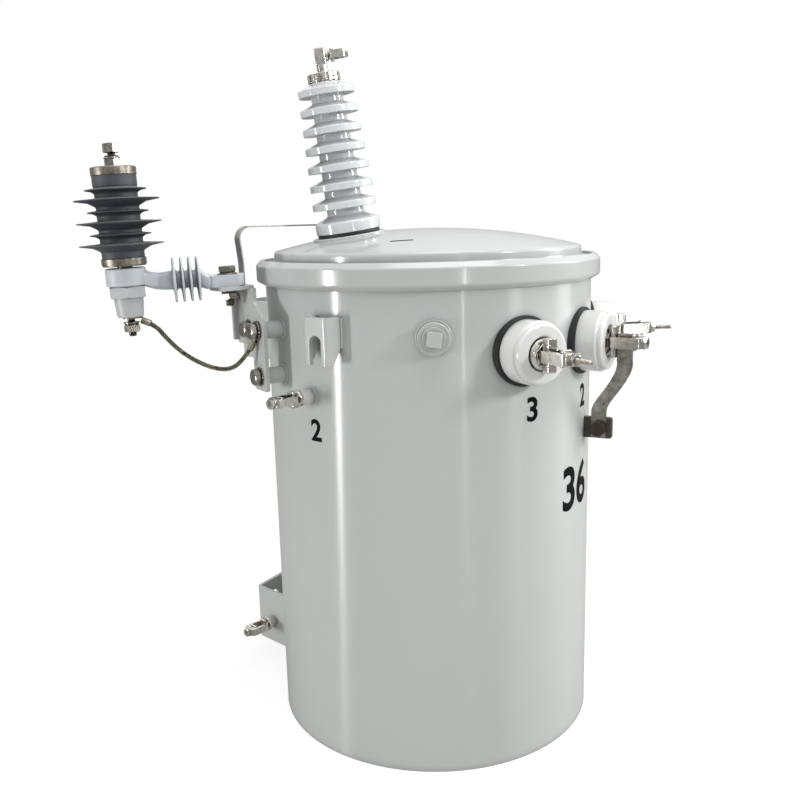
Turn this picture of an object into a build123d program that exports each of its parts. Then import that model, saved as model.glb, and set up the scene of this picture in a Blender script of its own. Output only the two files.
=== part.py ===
"""Pole mounted distribution transformer, as separate named pieces in one frame.

The origin is the centre of the tank's underside, +Z is up, +X is the low voltage side
and -X the pole. Lengths are millimetres. Angles are degrees about +Z from +X.
"""

import math
import os
from typing import NamedTuple

from build123d import *

os.makedirs("parts", exist_ok=True)


class EyeSizes(NamedTuple):
    """Sizes of one eyebolt clamp, outwards along its axis from its seat."""

    collar_radius: float
    collar_height: float
    shank_radius: float
    shank_length: float
    jaw_height: float
    jaw_width: float
    jaw_depth: float
    eye_width: float
    eye_height: float
    eye_length: float
    eye_arm: float
    eye_round: float
    saddle_depth: float
    screw_radius: float
    screw_head_radius: float
    screw_head_height: float
    screw_tail: float


# Clearances that every piece shares
overrun = 3.0
seat_gap = 0.3
weld_bite = 12.0

# Tank, bottom and cover
tank_radius = 225.0
tank_wall = 4.0
tank_height = 640.0
tank_flange_reach = 5.0
tank_flange_thickness = 4.0
bottom_thickness = 6.0
cover_flange_thickness = 9.0
cover_gasket_gap = 0.8
cover_step_inset = 13.4
cover_step_height = 13.4
cover_step_round = 3.0
cover_rise = 27.0
cover_thickness = 3.0

# Clamp band round the rim
band_stand = 11.7
band_thickness = 2.6
band_wall_height = 21.0
band_chamfer_drop = 6.5
band_shoulder = 6.5
band_lip_reach = 11.0
band_lug_angle = 128.0
band_lug_length = 26.0
band_lug_thickness = 5.0
band_lug_gap = 16.0
band_lug_height = 18.0
band_bolt_radius = 4.0
band_nut_across = 13.0
band_nut_height = 6.5

# Pole hangers, a splayed channel with bolt slots in its web
hanger_angle = 180.0
hanger_stand = 86.0
hanger_web_width = 78.0
hanger_foot_width = 130.0
hanger_thickness = 6.0
hanger_bend = 9.0
hanger_height = 88.0
lower_hanger_foot = 27.0
upper_hanger_drop = 141.0
hanger_slot_radius = 10.5
hanger_slot_length = 46.0

# Lifting lugs
lug_angles = (-94.5, 85.5)
lug_drop = 108.0
lug_height = 58.0
lug_width = 41.0
lug_reach = 24.0
lug_thickness = 7.0
lug_bend = 7.0
lug_slot_width = 17.0
lug_slot_height = 36.0
lug_leg_rise = 17.0

# Welded bosses: two for the arrester, one for the high voltage ground, one for the plug
arrester_angle = -118.5
boss_radius = 11.0
boss_length = 28.0
lower_boss_drop = 131.0
upper_boss_drop = 72.0
ground_boss_angle = -103.0
ground_boss_drop = 152.0
ground_boss_radius = 10.5
ground_boss_length = 20.0
plug_angle = -60.0
plug_drop = 75.0
plug_boss_radius = 19.5
plug_boss_length = 11.0
plug_boss_round = 3.0
plug_rim_radius = 14.2
plug_rim_height = 3.0
plug_head_width = 18.0
plug_head_height = 9.0
plug_head_round = 2.0

# Arrester bracket, in the plane across the bosses
plate_thickness = 5.0
plate_leg_width = 38.0
plate_foot_drop = 18.0
plate_side_reach = 70.0
plate_side_drop = 21.0
plate_slope_start_rise = 15.0
plate_slope_rise = 20.0
plate_neck_edge = -10.0
plate_corner = 4.0
plate_sway_round = 14.0
plate_rim_depth = 7.0
side_bolt_offset = -29.0
tab_overhang = 18.0
tab_width = 46.0
tab_thickness = 5.0

# Hexagon bolts and nuts
bolt_radius = 6.0
bolt_across = 19.0
bolt_head_height = 8.0
bolt_tail = 9.0
nut_height = 9.0
washer_radius = 12.5
washer_height = 2.5

# Insulating arm and its bolt
arm_bolt_stand = 25.0
arm_bolt_offset = -40.0
arm_seat_rise = 56.0
arm_angle = -133.5
arm_tilt = -2.0
arm_length = 124.0
arm_pad_thickness = 15.0
arm_pad_width = 34.0
arm_pad_back = 20.0
arm_pad_front = 24.0
arm_rod_radius = 11.0
arm_fin_radius = 28.0
arm_fin_thickness = 2.2
arm_fin_first = 37.0
arm_fin_pitch = 9.8
arm_fin_count = 4
arm_fin_rise = 5.0
arm_beam_width = 19.0
arm_beam_half = 11.5
arm_beam_scoop = 3.5
arm_beam_run_shares = (0.14, 0.354, 0.483, 0.559)
arm_collar_radius = 24.5
arm_collar_height = 22.0
arm_collar_rise = 13.5
arm_collar_round = 2.0

# Arrester housing and caps, along the arrester's own axis
stack_gap = 2.2
stack_neck_radius = 9.0
cap_radius = 27.0
cap_height = 10.0
cap_round = 1.5
housing_height = 99.0
housing_radius = 25.5
housing_collar_radius = 26.3
housing_collar_height = 13.0
large_shed_radius = 50.5
small_shed_radius = 36.3
shed_tip = 1.2
large_shed_root = 9.0
small_shed_root = 5.0
shed_rise = 1.6
shed_flare_share = 0.36
shed_thin_share = 0.34
small_shed_shares = (0.837, 0.57, 0.293)
large_shed_shares = (0.715, 0.44, 0.171)
terminal_across = 17.0
terminal_head_height = 11.0
terminal_head_turn = 15.0
terminal_radius = 5.0
terminal_plate_radius = 9.8
terminal_plate_height = 3.5
terminal_nut_height = 9.5

# Ground lead disconnector below the arm
disconnector_across = 42.0
disconnector_collar_height = 15.0
cup_top_radius = 18.0
cup_foot_radius = 16.0
cup_height = 24.0
cup_round = 2.0
stud_radius = 5.0
stud_length = 24.0
stud_nut_across = 17.0
stud_nut_height = 9.0
stud_nut_drop = 9.5

# High voltage bushing on the cover
bushing_angle = -128.0
bushing_inset = 112.0
bushing_pad_radius = 48.0
bushing_pad_rise = 2.0
bushing_pad_depth = 8.0
bushing_pad_round = 1.5
bushing_gasket_radius = 41.5
bushing_gasket_height = 4.5
bushing_flange_radius = 43.0
bushing_flange_height = 15.0
bushing_flange_cone = 7.0
bushing_foot_radius = 24.8
bushing_neck_radius = 20.3
bushing_height = 190.0
bushing_shed_count = 7
bushing_shed_first = 31.0
bushing_shed_pitch = 23.8
bushing_low_shed_radius = 42.5
bushing_high_shed_radius = 36.5
bushing_shed_edge = 10.5
bushing_shed_cone = 4.0
bushing_shed_round = 2.0
bushing_spigot_radius = 24.0
bushing_spigot_depth = 30.0
cap_nut_radius = 21.0
cap_nut_height = 11.5
cap_nut_notches = 16
cap_nut_notch_width = 3.4
cap_nut_notch_depth = 1.8
terminal_stem_radius = 7.0
terminal_stem_height = 10.0
terminal_block_width = 14.0
terminal_block_height = 21.0
terminal_block_round = 2.0
bushing_terminal_turn = 30.0

# Low voltage bushings round the tank wall
lv_angles = (31.0, 0.0, -31.0)
lv_drop = 97.0
lv_gasket_radius = 43.0
lv_gasket_height = 4.0
lv_base_radius = 39.0
lv_base_height = 26.0
lv_nose_radius = 36.2
lv_nose_height = 8.0
lv_base_round = 2.2
lv_nose_round = 6.0
lv_recess_radius = 20.5
lv_recess_depth = 7.0
lv_spigot_radius = 26.0
lv_spigot_depth = 26.0

# Eyebolt clamps: on the low voltage bushings, and the smaller ones for grounds
lv_eye = EyeSizes(
    collar_radius=18.5,
    collar_height=9.0,
    shank_radius=8.0,
    shank_length=4.0,
    jaw_height=41.0,
    jaw_width=22.0,
    jaw_depth=11.0,
    eye_width=27.0,
    eye_height=14.0,
    eye_length=36.0,
    eye_arm=5.0,
    eye_round=5.0,
    saddle_depth=6.0,
    screw_radius=4.0,
    screw_head_radius=7.0,
    screw_head_height=6.5,
    screw_tail=24.0,
)
neutral_eye = EyeSizes(
    collar_radius=18.5,
    collar_height=7.0,
    shank_radius=8.0,
    shank_length=2.0,
    jaw_height=41.0,
    jaw_width=22.0,
    jaw_depth=7.0,
    eye_width=27.0,
    eye_height=14.0,
    eye_length=34.0,
    eye_arm=4.5,
    eye_round=9.0,
    saddle_depth=4.0,
    screw_radius=4.0,
    screw_head_radius=7.0,
    screw_head_height=5.0,
    screw_tail=0.0,
)
ground_eye = EyeSizes(
    collar_radius=11.0,
    collar_height=6.0,
    shank_radius=5.5,
    shank_length=2.5,
    jaw_height=21.0,
    jaw_width=15.0,
    jaw_depth=5.0,
    eye_width=23.0,
    eye_height=11.0,
    eye_length=27.0,
    eye_arm=4.2,
    eye_round=11.0,
    saddle_depth=4.0,
    screw_radius=3.6,
    screw_head_radius=6.0,
    screw_head_height=5.0,
    screw_tail=0.0,
)
terminal_eye = EyeSizes(
    collar_radius=7.0,
    collar_height=4.0,
    shank_radius=4.5,
    shank_length=1.5,
    jaw_height=17.0,
    jaw_width=13.0,
    jaw_depth=4.5,
    eye_width=15.0,
    eye_height=10.0,
    eye_length=15.0,
    eye_arm=3.0,
    eye_round=3.0,
    saddle_depth=3.0,
    screw_radius=2.6,
    screw_head_radius=4.8,
    screw_head_height=3.5,
    screw_tail=0.0,
)
hanger_ground_rise = 37.0
hanger_ground_inset = 38.0
hanger_boss_radius = 8.0
hanger_boss_length = 11.0

# Low voltage ground tab, its strap and bolt
tab_angle = 5.5
ground_tab_length = 37.0
ground_tab_drop = 119.0
ground_tab_size = 28.0
ground_tab_thickness = 8.0
ground_tab_corner = 3.0
strap_width = 20.0
strap_thickness = 2.4
strap_turn = 24.0
strap_drop_shares = (0.0, 0.25, 0.5, 0.75, 0.9, 1.0)
strap_inset_shares = (0.0, 0.1, 0.42, 0.8, 0.97, 1.0)
strap_top_rise = 11.0
strap_bend_gap = 6.0
strap_foot_stand = 20.0
strap_foot_drop = 12.5

# Flat strap from the bracket to the cover
cover_strap_offset = -60.0
cover_strap_pass = 1.5
cover_strap_width = 15.0
cover_strap_thickness = 1.8
cover_strap_foot_drop = 27.0
cover_strap_clear = 7.8
cover_strap_bend = 16.0
cover_strap_lean = 5.0
cover_strap_tail = 5.0
cover_stud_inset = 165.0
cover_stud_radius = 4.0
cover_stud_cap = 5.0
cover_stud_across = 13.0
rivet_drop = 16.0
rivet_radius = 3.0
rivet_head_radius = 4.6
rivet_head_height = 3.0

# Braided ground lead, from the disconnector's stud to the upper bracket bolt
lead_radius = 2.8
lead_lug_width = 13.0
lead_lug_thickness = 2.0
lead_barrel_wall = 1.4
lead_barrel_length = 12.0
lead_fillet_share = 0.45
lead_stud_run = ((-13.5, -3.1, 5.3), (-28.5, -6.4, 12.5), (-40.1, -8.7, 30.4))
lead_plate_run = ((-15.2, -49.0, 32.5), (-8.0, -33.0, 15.4), (-3.0, -15.0, 5.0))
lead_middle_shares = (0.27, 0.657)
lead_sags = (10.0, 10.7)


def outward(angle: float) -> Vector:
    """The level direction at an angle round the tank."""
    return Vector(math.cos(math.radians(angle)), math.sin(math.radians(angle)), 0)


def round_tank(angle: float, reach: float, height: float) -> Plane:
    """A plane that faces outwards, with x round the tank and y up."""
    out = outward(angle)
    return Plane(out * reach + Vector(0, 0, height), x_dir=Vector(-out.Y, out.X, 0), z_dir=out)


def upright(angle: float) -> Plane:
    """The plane through the tank's axis at an angle, with x outwards and y up."""
    out = outward(angle)
    return Plane((0, 0, 0), x_dir=out, z_dir=Vector(out.Y, -out.X, 0))


def plan(angle: float, height: float) -> Plane:
    """A level plane with x outwards at an angle."""
    return Plane((0, 0, height), x_dir=outward(angle), z_dir=Vector(0, 0, 1))


def turning(seat: Plane) -> Plane:
    """The plane of a turned profile: x is the radius and y runs along the seat's normal."""
    return Plane(seat.origin, x_dir=seat.x_dir, z_dir=seat.y_dir * -1)


def axis_of(seat: Plane) -> Axis:
    """The seat's normal, as the axis of what is turned on it."""
    return Axis(seat.origin, seat.z_dir)


def dome_drop(reach: float) -> float:
    """How far the cover's dome lies below its crown at a distance from the axis."""
    return dome_radius - math.sqrt(dome_radius**2 - reach**2)


def hex_prism(seat: Plane, across: float, height: float, turn: float = 0.0) -> None:
    """Adds a hexagon of a width across flats to the open part."""
    with BuildSketch(seat) as hexagon:
        RegularPolygon(across / 2, 6, major_radius=False, rotation=turn)
    extrude(hexagon.sketch, amount=height)


def disc(seat: Plane, radius: float, height: float, mode: Mode = Mode.ADD) -> None:
    """Adds or cuts a round of a height on a seat."""
    with BuildSketch(seat) as outline:
        Circle(radius)
    extrude(outline.sketch, amount=height, mode=mode)


def finish(part: Part, name: str) -> None:
    """Labels a finished piece and writes its file."""
    part.label = name
    export_step(part, f"parts/{name}.step")


# Heights and radii that several pieces follow
cover_step_radius = tank_radius - cover_step_inset
dome_radius = (cover_step_radius**2 + cover_rise**2) / (2 * cover_rise)
cover_seat = tank_height + cover_gasket_gap
cover_ledge = cover_seat + cover_flange_thickness
cover_shoulder = cover_ledge + cover_step_height
cover_crown = cover_shoulder + cover_rise
flange_radius = tank_radius + tank_flange_reach
band_radius = tank_radius + band_stand
band_top = cover_ledge + seat_gap + band_thickness
band_wall_top = band_top - band_shoulder
band_wall_foot = band_wall_top - band_wall_height
band_foot = band_wall_foot - band_chamfer_drop

hanger_reach = tank_radius + hanger_stand
upper_hanger_foot = tank_height - upper_hanger_drop
lug_foot = tank_height - lug_drop
boss_heights = (tank_height - lower_boss_drop, tank_height - upper_boss_drop)
ground_boss_height = tank_height - ground_boss_drop
plug_height = tank_height - plug_drop
plate_foot = boss_heights[0] - plate_foot_drop
plate_side_foot = boss_heights[1] - plate_side_drop
plate_slope_start = boss_heights[1] + plate_slope_start_rise
plate_slope_end = plate_slope_start + plate_slope_rise
arm_seat_height = boss_heights[1] + arm_seat_rise
lv_height = tank_height - lv_drop
hanger_ground_height = lower_hanger_foot + hanger_ground_rise
hanger_ground_reach = hanger_reach - hanger_ground_inset
ground_tab_reach = tank_radius + ground_tab_length
ground_tab_height = lv_height - ground_tab_drop
strap_top_height = lv_height + strap_top_rise
strap_jaw_height = lv_height - neutral_eye.jaw_height / 2 - overrun
strap_bend_height = ground_tab_height + ground_tab_size / 2 + strap_bend_gap
strap_foot_reach = tank_radius + strap_foot_stand
strap_foot_height = ground_tab_height - strap_foot_drop
cover_strap_foot = arm_seat_height - cover_strap_foot_drop
cover_strap_top = cover_crown + cover_strap_clear
cover_stud_reach = tank_radius - cover_stud_inset
cover_strap_end = cover_stud_reach - cover_strap_tail
rivet_height = arm_seat_height - rivet_drop

lv_seats = [round_tank(angle, tank_radius, lv_height) for angle in lv_angles]
lv_face = lv_gasket_height + lv_base_height + lv_nose_height

bushing_reach = tank_radius - bushing_inset
bushing_slope = math.degrees(math.asin(bushing_reach / dome_radius))
bushing_out = outward(bushing_angle)
bushing_normal = (
    bushing_out * math.sin(math.radians(bushing_slope))
    + Vector(0, 0, math.cos(math.radians(bushing_slope)))
)
bushing_foot = bushing_out * bushing_reach + Vector(0, 0, cover_crown - dome_drop(bushing_reach))
bushing_seat = Plane(
    bushing_foot + bushing_normal * bushing_pad_rise,
    x_dir=Vector(-bushing_out.Y, bushing_out.X, 0),
    z_dir=bushing_normal,
)

plate_back = tank_radius + boss_length
arm_bolt_reach = plate_back + arm_bolt_stand
plate_front = plate_back + plate_thickness
bracket_side = round_tank(arrester_angle, plate_back, 0)
arm_out = outward(arm_angle)
arm_along = arm_out * math.cos(math.radians(arm_tilt)) + Vector(0, 0, math.sin(math.radians(arm_tilt)))
arm_up = Vector(0, 0, math.cos(math.radians(arm_tilt))) - arm_out * math.sin(math.radians(arm_tilt))
arm_seat = Plane(
    outward(arrester_angle) * arm_bolt_reach
    + bracket_side.x_dir * arm_bolt_offset
    + Vector(0, 0, arm_seat_height),
    x_dir=arm_along,
    z_dir=arm_up,
)
arm_middle = arm_seat.offset(arm_pad_thickness / 2)
arm_axis = arm_middle.offset(arm_fin_rise)
arm_section = Plane(arm_axis.origin, x_dir=arm_middle.y_dir, z_dir=arm_middle.x_dir)
arm_pad_section = Plane(arm_middle.origin, x_dir=arm_middle.y_dir, z_dir=arm_middle.x_dir)
arrester_seat = arm_middle.offset(arm_collar_rise + arm_collar_height / 2)
arrester_seat = Plane(
    arrester_seat.origin + arm_along * arm_length, x_dir=arm_seat.x_dir, z_dir=arm_seat.z_dir
)
hanging_seat = Plane(
    arrester_seat.origin - arm_up * arm_collar_height, x_dir=arm_seat.x_dir, z_dir=arm_up * -1
)


# Tank wall, open at both ends, with the holes that the bushings pass through
with BuildPart() as tank_shell:
    with BuildSketch(Plane.XZ):
        with BuildLine():
            Polyline(
                (tank_radius - tank_wall, 0),
                (tank_radius, 0),
                (tank_radius, tank_height - tank_flange_thickness),
                (flange_radius, tank_height - tank_flange_thickness),
                (flange_radius, tank_height),
                (tank_radius - tank_wall, tank_height),
                close=True,
            )
        make_face()
    revolve(axis=Axis.Z)
    for seat in lv_seats:
        disc(seat.offset(overrun), lv_spigot_radius + seat_gap, -tank_wall * 2 - overrun * 2, Mode.SUBTRACT)
finish(tank_shell.part, "tank_shell")

# Bottom plate, set flush inside the wall
with BuildPart() as tank_bottom:
    disc(Plane.XY, tank_radius - tank_wall - seat_gap, bottom_thickness)
finish(tank_bottom.part, "tank_bottom")

# Domed cover with a stepped rim and a flat pad for the bushing
with BuildPart() as cover:
    with BuildSketch(Plane.XZ):
        with BuildLine():
            half = cover_step_radius / 2
            rim = Polyline(
                (0, cover_seat),
                (flange_radius, cover_seat),
                (flange_radius, cover_ledge),
                (cover_step_radius, cover_ledge),
                (cover_step_radius, cover_shoulder),
            )
            ThreePointArc(rim @ 1, (half, cover_crown - dome_drop(half)), (0, cover_crown))
            Line((0, cover_crown), rim @ 0)
        make_face()
        fillet(vertices().sort_by_distance(rim @ 1)[0], cover_step_round)
    revolve(axis=Axis.Z)
    disc(bushing_seat, bushing_pad_radius, -bushing_pad_depth)
    pad_edge = cover.faces().sort_by_distance(bushing_seat.origin)[0].edges()
    fillet(pad_edge, bushing_pad_round)
    with BuildSketch(Plane.XZ):
        with BuildLine():
            inner = cover_step_radius - cover_thickness
            hollow = Polyline(
                (0, cover_seat),
                (inner, cover_seat),
                (inner, cover_shoulder - cover_thickness),
            )
            ThreePointArc(
                hollow @ 1,
                (half, cover_crown - cover_thickness - dome_drop(half)),
                (0, cover_crown - cover_thickness),
            )
            Line((0, cover_crown - cover_thickness), hollow @ 0)
        make_face()
    revolve(axis=Axis.Z, mode=Mode.SUBTRACT)
    bore_depth = bushing_pad_depth + overrun * 2
    disc(bushing_seat.offset(overrun), bushing_spigot_radius + seat_gap, -bore_depth, Mode.SUBTRACT)
finish(cover.part, "cover")

# Clamp band, a channel that holds the two rims together
with BuildPart() as cover_band:
    with BuildSketch(Plane.XZ):
        inner_band = band_radius - band_thickness
        inner_lip = band_radius - band_lip_reach
        outer_corners = ((band_radius, band_wall_top), (band_radius - band_shoulder, band_top))
        with BuildLine():
            Polyline(
                (tank_radius + seat_gap, band_foot),
                (band_radius, band_wall_foot),
                *outer_corners,
                (inner_lip, band_top),
                (inner_lip, band_top - band_thickness),
                (inner_band - band_shoulder + band_thickness, band_top - band_thickness),
                (inner_band, band_wall_top),
                (inner_band, band_wall_foot + band_thickness),
                (tank_radius + seat_gap, band_foot + band_thickness),
                close=True,
            )
        make_face()
        for corner in outer_corners:
            fillet(vertices().sort_by_distance(corner)[0], band_thickness)
    revolve(axis=Axis.Z)
finish(cover_band.part, "cover_band")

# Closing lugs of the band, a pair of ears with the bolt through them
band_middle = band_wall_foot + band_wall_height / 2
lug_centre = band_radius + band_lug_length / 2
with BuildPart() as band_lugs:
    for side in (-1, 1):
        offset_round = side * (band_lug_gap + band_lug_thickness) / 2
        with BuildSketch(plan(band_lug_angle, band_middle - band_lug_height / 2)):
            with Locations((lug_centre - seat_gap, offset_round)):
                Rectangle(band_lug_length + overrun, band_lug_thickness)
        extrude(amount=band_lug_height)
    Cylinder(band_radius, tank_height * 2, align=(Align.CENTER, Align.CENTER, Align.MIN), mode=Mode.SUBTRACT)
    lug_bolt_plane = Plane(
        outward(band_lug_angle) * lug_centre + Vector(0, 0, band_middle),
        x_dir=Vector(0, 0, 1),
        z_dir=round_tank(band_lug_angle, 0, 0).x_dir,
    )
    disc(lug_bolt_plane.offset(-band_lug_gap), band_bolt_radius + seat_gap, band_lug_gap * 2, Mode.SUBTRACT)
finish(band_lugs.part, "band_lugs")

with BuildPart() as band_bolt:
    lug_face = band_lug_gap / 2 + band_lug_thickness
    disc(lug_bolt_plane.offset(-lug_face), band_bolt_radius, lug_face * 2 + band_nut_height * 2)
    hex_prism(lug_bolt_plane.offset(lug_face), band_nut_across, band_nut_height)
    hex_prism(lug_bolt_plane.offset(-lug_face - band_nut_height), band_nut_across, band_nut_height)
finish(band_bolt.part, "band_bolt")

# Pole hangers, each a splayed channel welded to the wall by its two legs
for name, foot in (("upper_hanger", upper_hanger_foot), ("lower_hanger", lower_hanger_foot)):
    with BuildPart() as hanger:
        with BuildSketch(plan(hanger_angle, foot)):
            with BuildLine():
                root = tank_radius - hanger_foot_width / 4
                Polyline(
                    (root, -hanger_foot_width / 2),
                    (hanger_reach, -hanger_web_width / 2),
                    (hanger_reach, hanger_web_width / 2),
                    (root, hanger_foot_width / 2),
                    close=True,
                )
            make_face()
            fillet(vertices().group_by(Axis.X)[-1], hanger_bend)
            offset(amount=-hanger_thickness, kind=Kind.INTERSECTION, mode=Mode.SUBTRACT)
        extrude(amount=hanger_height)
        Cylinder(tank_radius, tank_height * 2, mode=Mode.SUBTRACT)
        slot_plane = round_tank(hanger_angle, hanger_reach + overrun, foot + hanger_height / 2)
        with BuildSketch(slot_plane):
            SlotOverall(hanger_slot_length, hanger_slot_radius * 2, rotation=90)
        extrude(amount=-hanger_thickness - overrun * 2, mode=Mode.SUBTRACT)
    finish(hanger.part, name)

# Lifting lugs, bent plates with an arched slot for the hook
for name, angle in zip(("lifting_lug_near", "lifting_lug_far"), lug_angles):
    with BuildPart() as lug:
        lug_face = tank_radius + lug_reach
        with BuildSketch(plan(angle, lug_foot)):
            with Locations((lug_face, 0)):
                Rectangle(lug_reach * 2, lug_width, align=(Align.MAX, Align.CENTER))
            fillet(vertices().group_by(Axis.X)[-1], lug_bend)
            offset(amount=-lug_thickness, kind=Kind.INTERSECTION, mode=Mode.SUBTRACT)
        extrude(amount=lug_height)
        Cylinder(tank_radius, tank_height * 2, mode=Mode.SUBTRACT)
        with BuildSketch(round_tank(angle, lug_face + overrun, lug_foot)):
            arch = lug_slot_width / 2
            with Locations((0, -overrun)):
                Rectangle(lug_slot_width, lug_slot_height + overrun - arch, align=(Align.CENTER, Align.MIN))
            with Locations((0, lug_slot_height - arch)):
                Circle(arch)
        extrude(amount=-lug_thickness - overrun * 2, mode=Mode.SUBTRACT)
        with BuildSketch(upright(angle)):
            leg_edge = lug_face - lug_thickness
            with BuildLine():
                Polyline(
                    (tank_radius - weld_bite, lug_foot - overrun),
                    (leg_edge, lug_foot - overrun),
                    (tank_radius - weld_bite, lug_foot + lug_leg_rise * 2),
                    close=True,
                )
            make_face()
        extrude(amount=lug_width, both=True, mode=Mode.SUBTRACT)
    finish(lug.part, name)

# Bosses welded to the wall
with BuildPart() as tank_bosses:
    for height in boss_heights:
        boss_root = round_tank(arrester_angle, tank_radius - weld_bite, height)
        disc(boss_root, boss_radius, boss_length + weld_bite)
    disc(
        round_tank(ground_boss_angle, tank_radius - weld_bite, ground_boss_height),
        ground_boss_radius,
        ground_boss_length + weld_bite,
    )
    plug_seat = round_tank(plug_angle, tank_radius + plug_boss_length, plug_height)
    disc(plug_seat, plug_boss_radius, -plug_boss_length - weld_bite)
    plug_edge = tank_bosses.faces().sort_by_distance(plug_seat.origin)[0].edges()
    fillet(plug_edge, plug_boss_round)
    Cylinder(tank_radius, tank_height * 2, mode=Mode.SUBTRACT)
finish(tank_bosses.part, "tank_bosses")

with BuildPart() as oil_plug:
    disc(plug_seat, plug_rim_radius, plug_rim_height)
    plug_top = plug_seat.offset(plug_rim_height)
    with BuildSketch(plug_top):
        RectangleRounded(plug_head_width, plug_head_width, plug_head_round)
    extrude(amount=plug_head_height, taper=math.degrees(math.atan(plug_head_round / plug_head_height / 2)))
finish(oil_plug.part, "oil_plug")

# Arrester bracket: a shaped plate on the bosses, a rib and a tab under the arm
plate_half = plate_leg_width / 2
with BuildPart() as arrester_bracket:
    with BuildSketch(bracket_side):
        with BuildLine():
            Polyline(
                (-plate_half, plate_foot),
                (plate_half, plate_foot),
                (plate_half, plate_slope_start),
                (plate_neck_edge, plate_slope_end),
                (plate_neck_edge, arm_seat_height - tab_thickness / 2),
                (-plate_side_reach, arm_seat_height - tab_thickness / 2),
                (-plate_side_reach, plate_side_foot),
                (-plate_half, plate_side_foot),
                close=True,
            )
        make_face()
        sways = ((plate_half, plate_slope_start), (plate_neck_edge, plate_slope_end))
        feet = ((-plate_half, plate_foot), (plate_half, plate_foot), (-plate_side_reach, plate_side_foot))
        fillet([vertices().sort_by_distance(sway)[0] for sway in sways], plate_sway_round)
        fillet([vertices().sort_by_distance(foot)[0] for foot in feet], plate_corner)
        with Locations((0, boss_heights[0]), (0, boss_heights[1]), (side_bolt_offset, boss_heights[1])):
            Circle(bolt_radius + seat_gap, mode=Mode.SUBTRACT)
        with Locations((cover_strap_offset, rivet_height)):
            Circle(rivet_radius + seat_gap, mode=Mode.SUBTRACT)
    extrude(amount=plate_thickness)
    rim_height = arm_seat_height - tab_thickness * 2 - plate_side_foot - plate_corner
    with BuildSketch(bracket_side):
        with Locations((-plate_side_reach, plate_side_foot + plate_corner)):
            Rectangle(plate_thickness, rim_height, align=(Align.MIN, Align.MIN))
    extrude(amount=plate_thickness + plate_rim_depth)
    with BuildSketch(arm_seat):
        tab_reach = arm_bolt_reach - plate_back + tab_overhang
        with Locations(Rot(0, 0, arrester_angle - arm_angle)):
            with Locations((tab_overhang - tab_reach / 2, 0)):
                Rectangle(tab_reach, tab_width)
        Circle(bolt_radius + seat_gap, mode=Mode.SUBTRACT)
    extrude(amount=-tab_thickness)
finish(arrester_bracket.part, "arrester_bracket")

# Bolts of the bracket: two into the bosses, one through the side, with washers
with BuildPart() as bracket_bolts:
    plate_face = bracket_side.offset(plate_thickness)
    for across, height in ((0, boss_heights[0]), (0, boss_heights[1]), (side_bolt_offset, boss_heights[1])):
        lift = lead_lug_thickness if (across, height) == (0, boss_heights[1]) else 0
        spot = Plane(
            plate_face.origin + plate_face.x_dir * across + Vector(0, 0, height) + plate_face.z_dir * lift,
            x_dir=plate_face.x_dir,
            z_dir=plate_face.z_dir,
        )
        disc(spot, washer_radius, washer_height)
        hex_prism(spot.offset(washer_height), bolt_across, bolt_head_height)
        disc(spot, bolt_radius, -plate_thickness - lift)
    side_back = Plane(
        bracket_side.origin + bracket_side.x_dir * side_bolt_offset + Vector(0, 0, boss_heights[1]),
        x_dir=bracket_side.x_dir,
        z_dir=bracket_side.z_dir * -1,
    )
    hex_prism(side_back, bolt_across, nut_height)
finish(bracket_bolts.part, "bracket_bolts")

# Insulating arm: a pad on the tab, finned rod, beam and collar
with BuildPart() as insulating_arm:
    disc(arrester_seat, arm_collar_radius, -arm_collar_height)
    fillet(insulating_arm.edges().filter_by(GeomType.CIRCLE), arm_collar_round)
    with BuildSketch(arm_seat):
        with Locations(((arm_pad_front - arm_pad_back) / 2, 0)):
            RectangleRounded(arm_pad_front + arm_pad_back, arm_pad_width, arm_pad_width / 4)
    extrude(amount=arm_pad_thickness)
    rod_start = arm_section.offset(arm_fin_first - arm_fin_pitch / 2)
    rod_length = arm_fin_count * arm_fin_pitch
    with BuildSketch(arm_pad_section.offset(arm_pad_front - seat_gap)):
        Ellipse(arm_pad_width / 2 - overrun, arm_pad_thickness / 2 - seat_gap * 3)
    with BuildSketch(rod_start):
        Ellipse(arm_rod_radius - seat_gap, arm_rod_radius - seat_gap * 2)
    loft()
    disc(rod_start, arm_rod_radius, rod_length)
    for number in range(arm_fin_count):
        fin_seat = arm_section.offset(arm_fin_first + number * arm_fin_pitch - arm_fin_thickness / 2)
        disc(fin_seat, arm_fin_radius, arm_fin_thickness)
    beam_start = arm_fin_first + rod_length - arm_fin_pitch
    runs = [beam_start + (arm_length - beam_start) * share for share in arm_beam_run_shares]
    collar_lift = arm_collar_rise - arm_fin_rise
    collar_half = arm_collar_height / 2 - arm_collar_round
    with BuildSketch(Plane(arm_axis.origin, x_dir=arm_along, z_dir=arm_middle.y_dir * -1)):
        with BuildLine():
            Polyline(
                (beam_start, -arm_beam_half),
                (runs[1], collar_lift / 4 - arm_beam_half),
                (runs[3], collar_lift - collar_half),
                (arm_length, collar_lift - collar_half),
                (arm_length, collar_lift + collar_half),
                (runs[3], collar_lift + collar_half),
                (runs[2], arm_beam_half - arm_beam_scoop / 2),
                (runs[1], arm_beam_half - arm_beam_scoop),
                (runs[0], arm_beam_half),
                (beam_start, arm_beam_half),
                close=True,
            )
        make_face()
    extrude(amount=arm_beam_width / 2, both=True)
    disc(arm_seat.offset(-overrun), bolt_radius + seat_gap, arm_pad_thickness + overrun * 2, Mode.SUBTRACT)
finish(insulating_arm.part, "insulating_arm")

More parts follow.
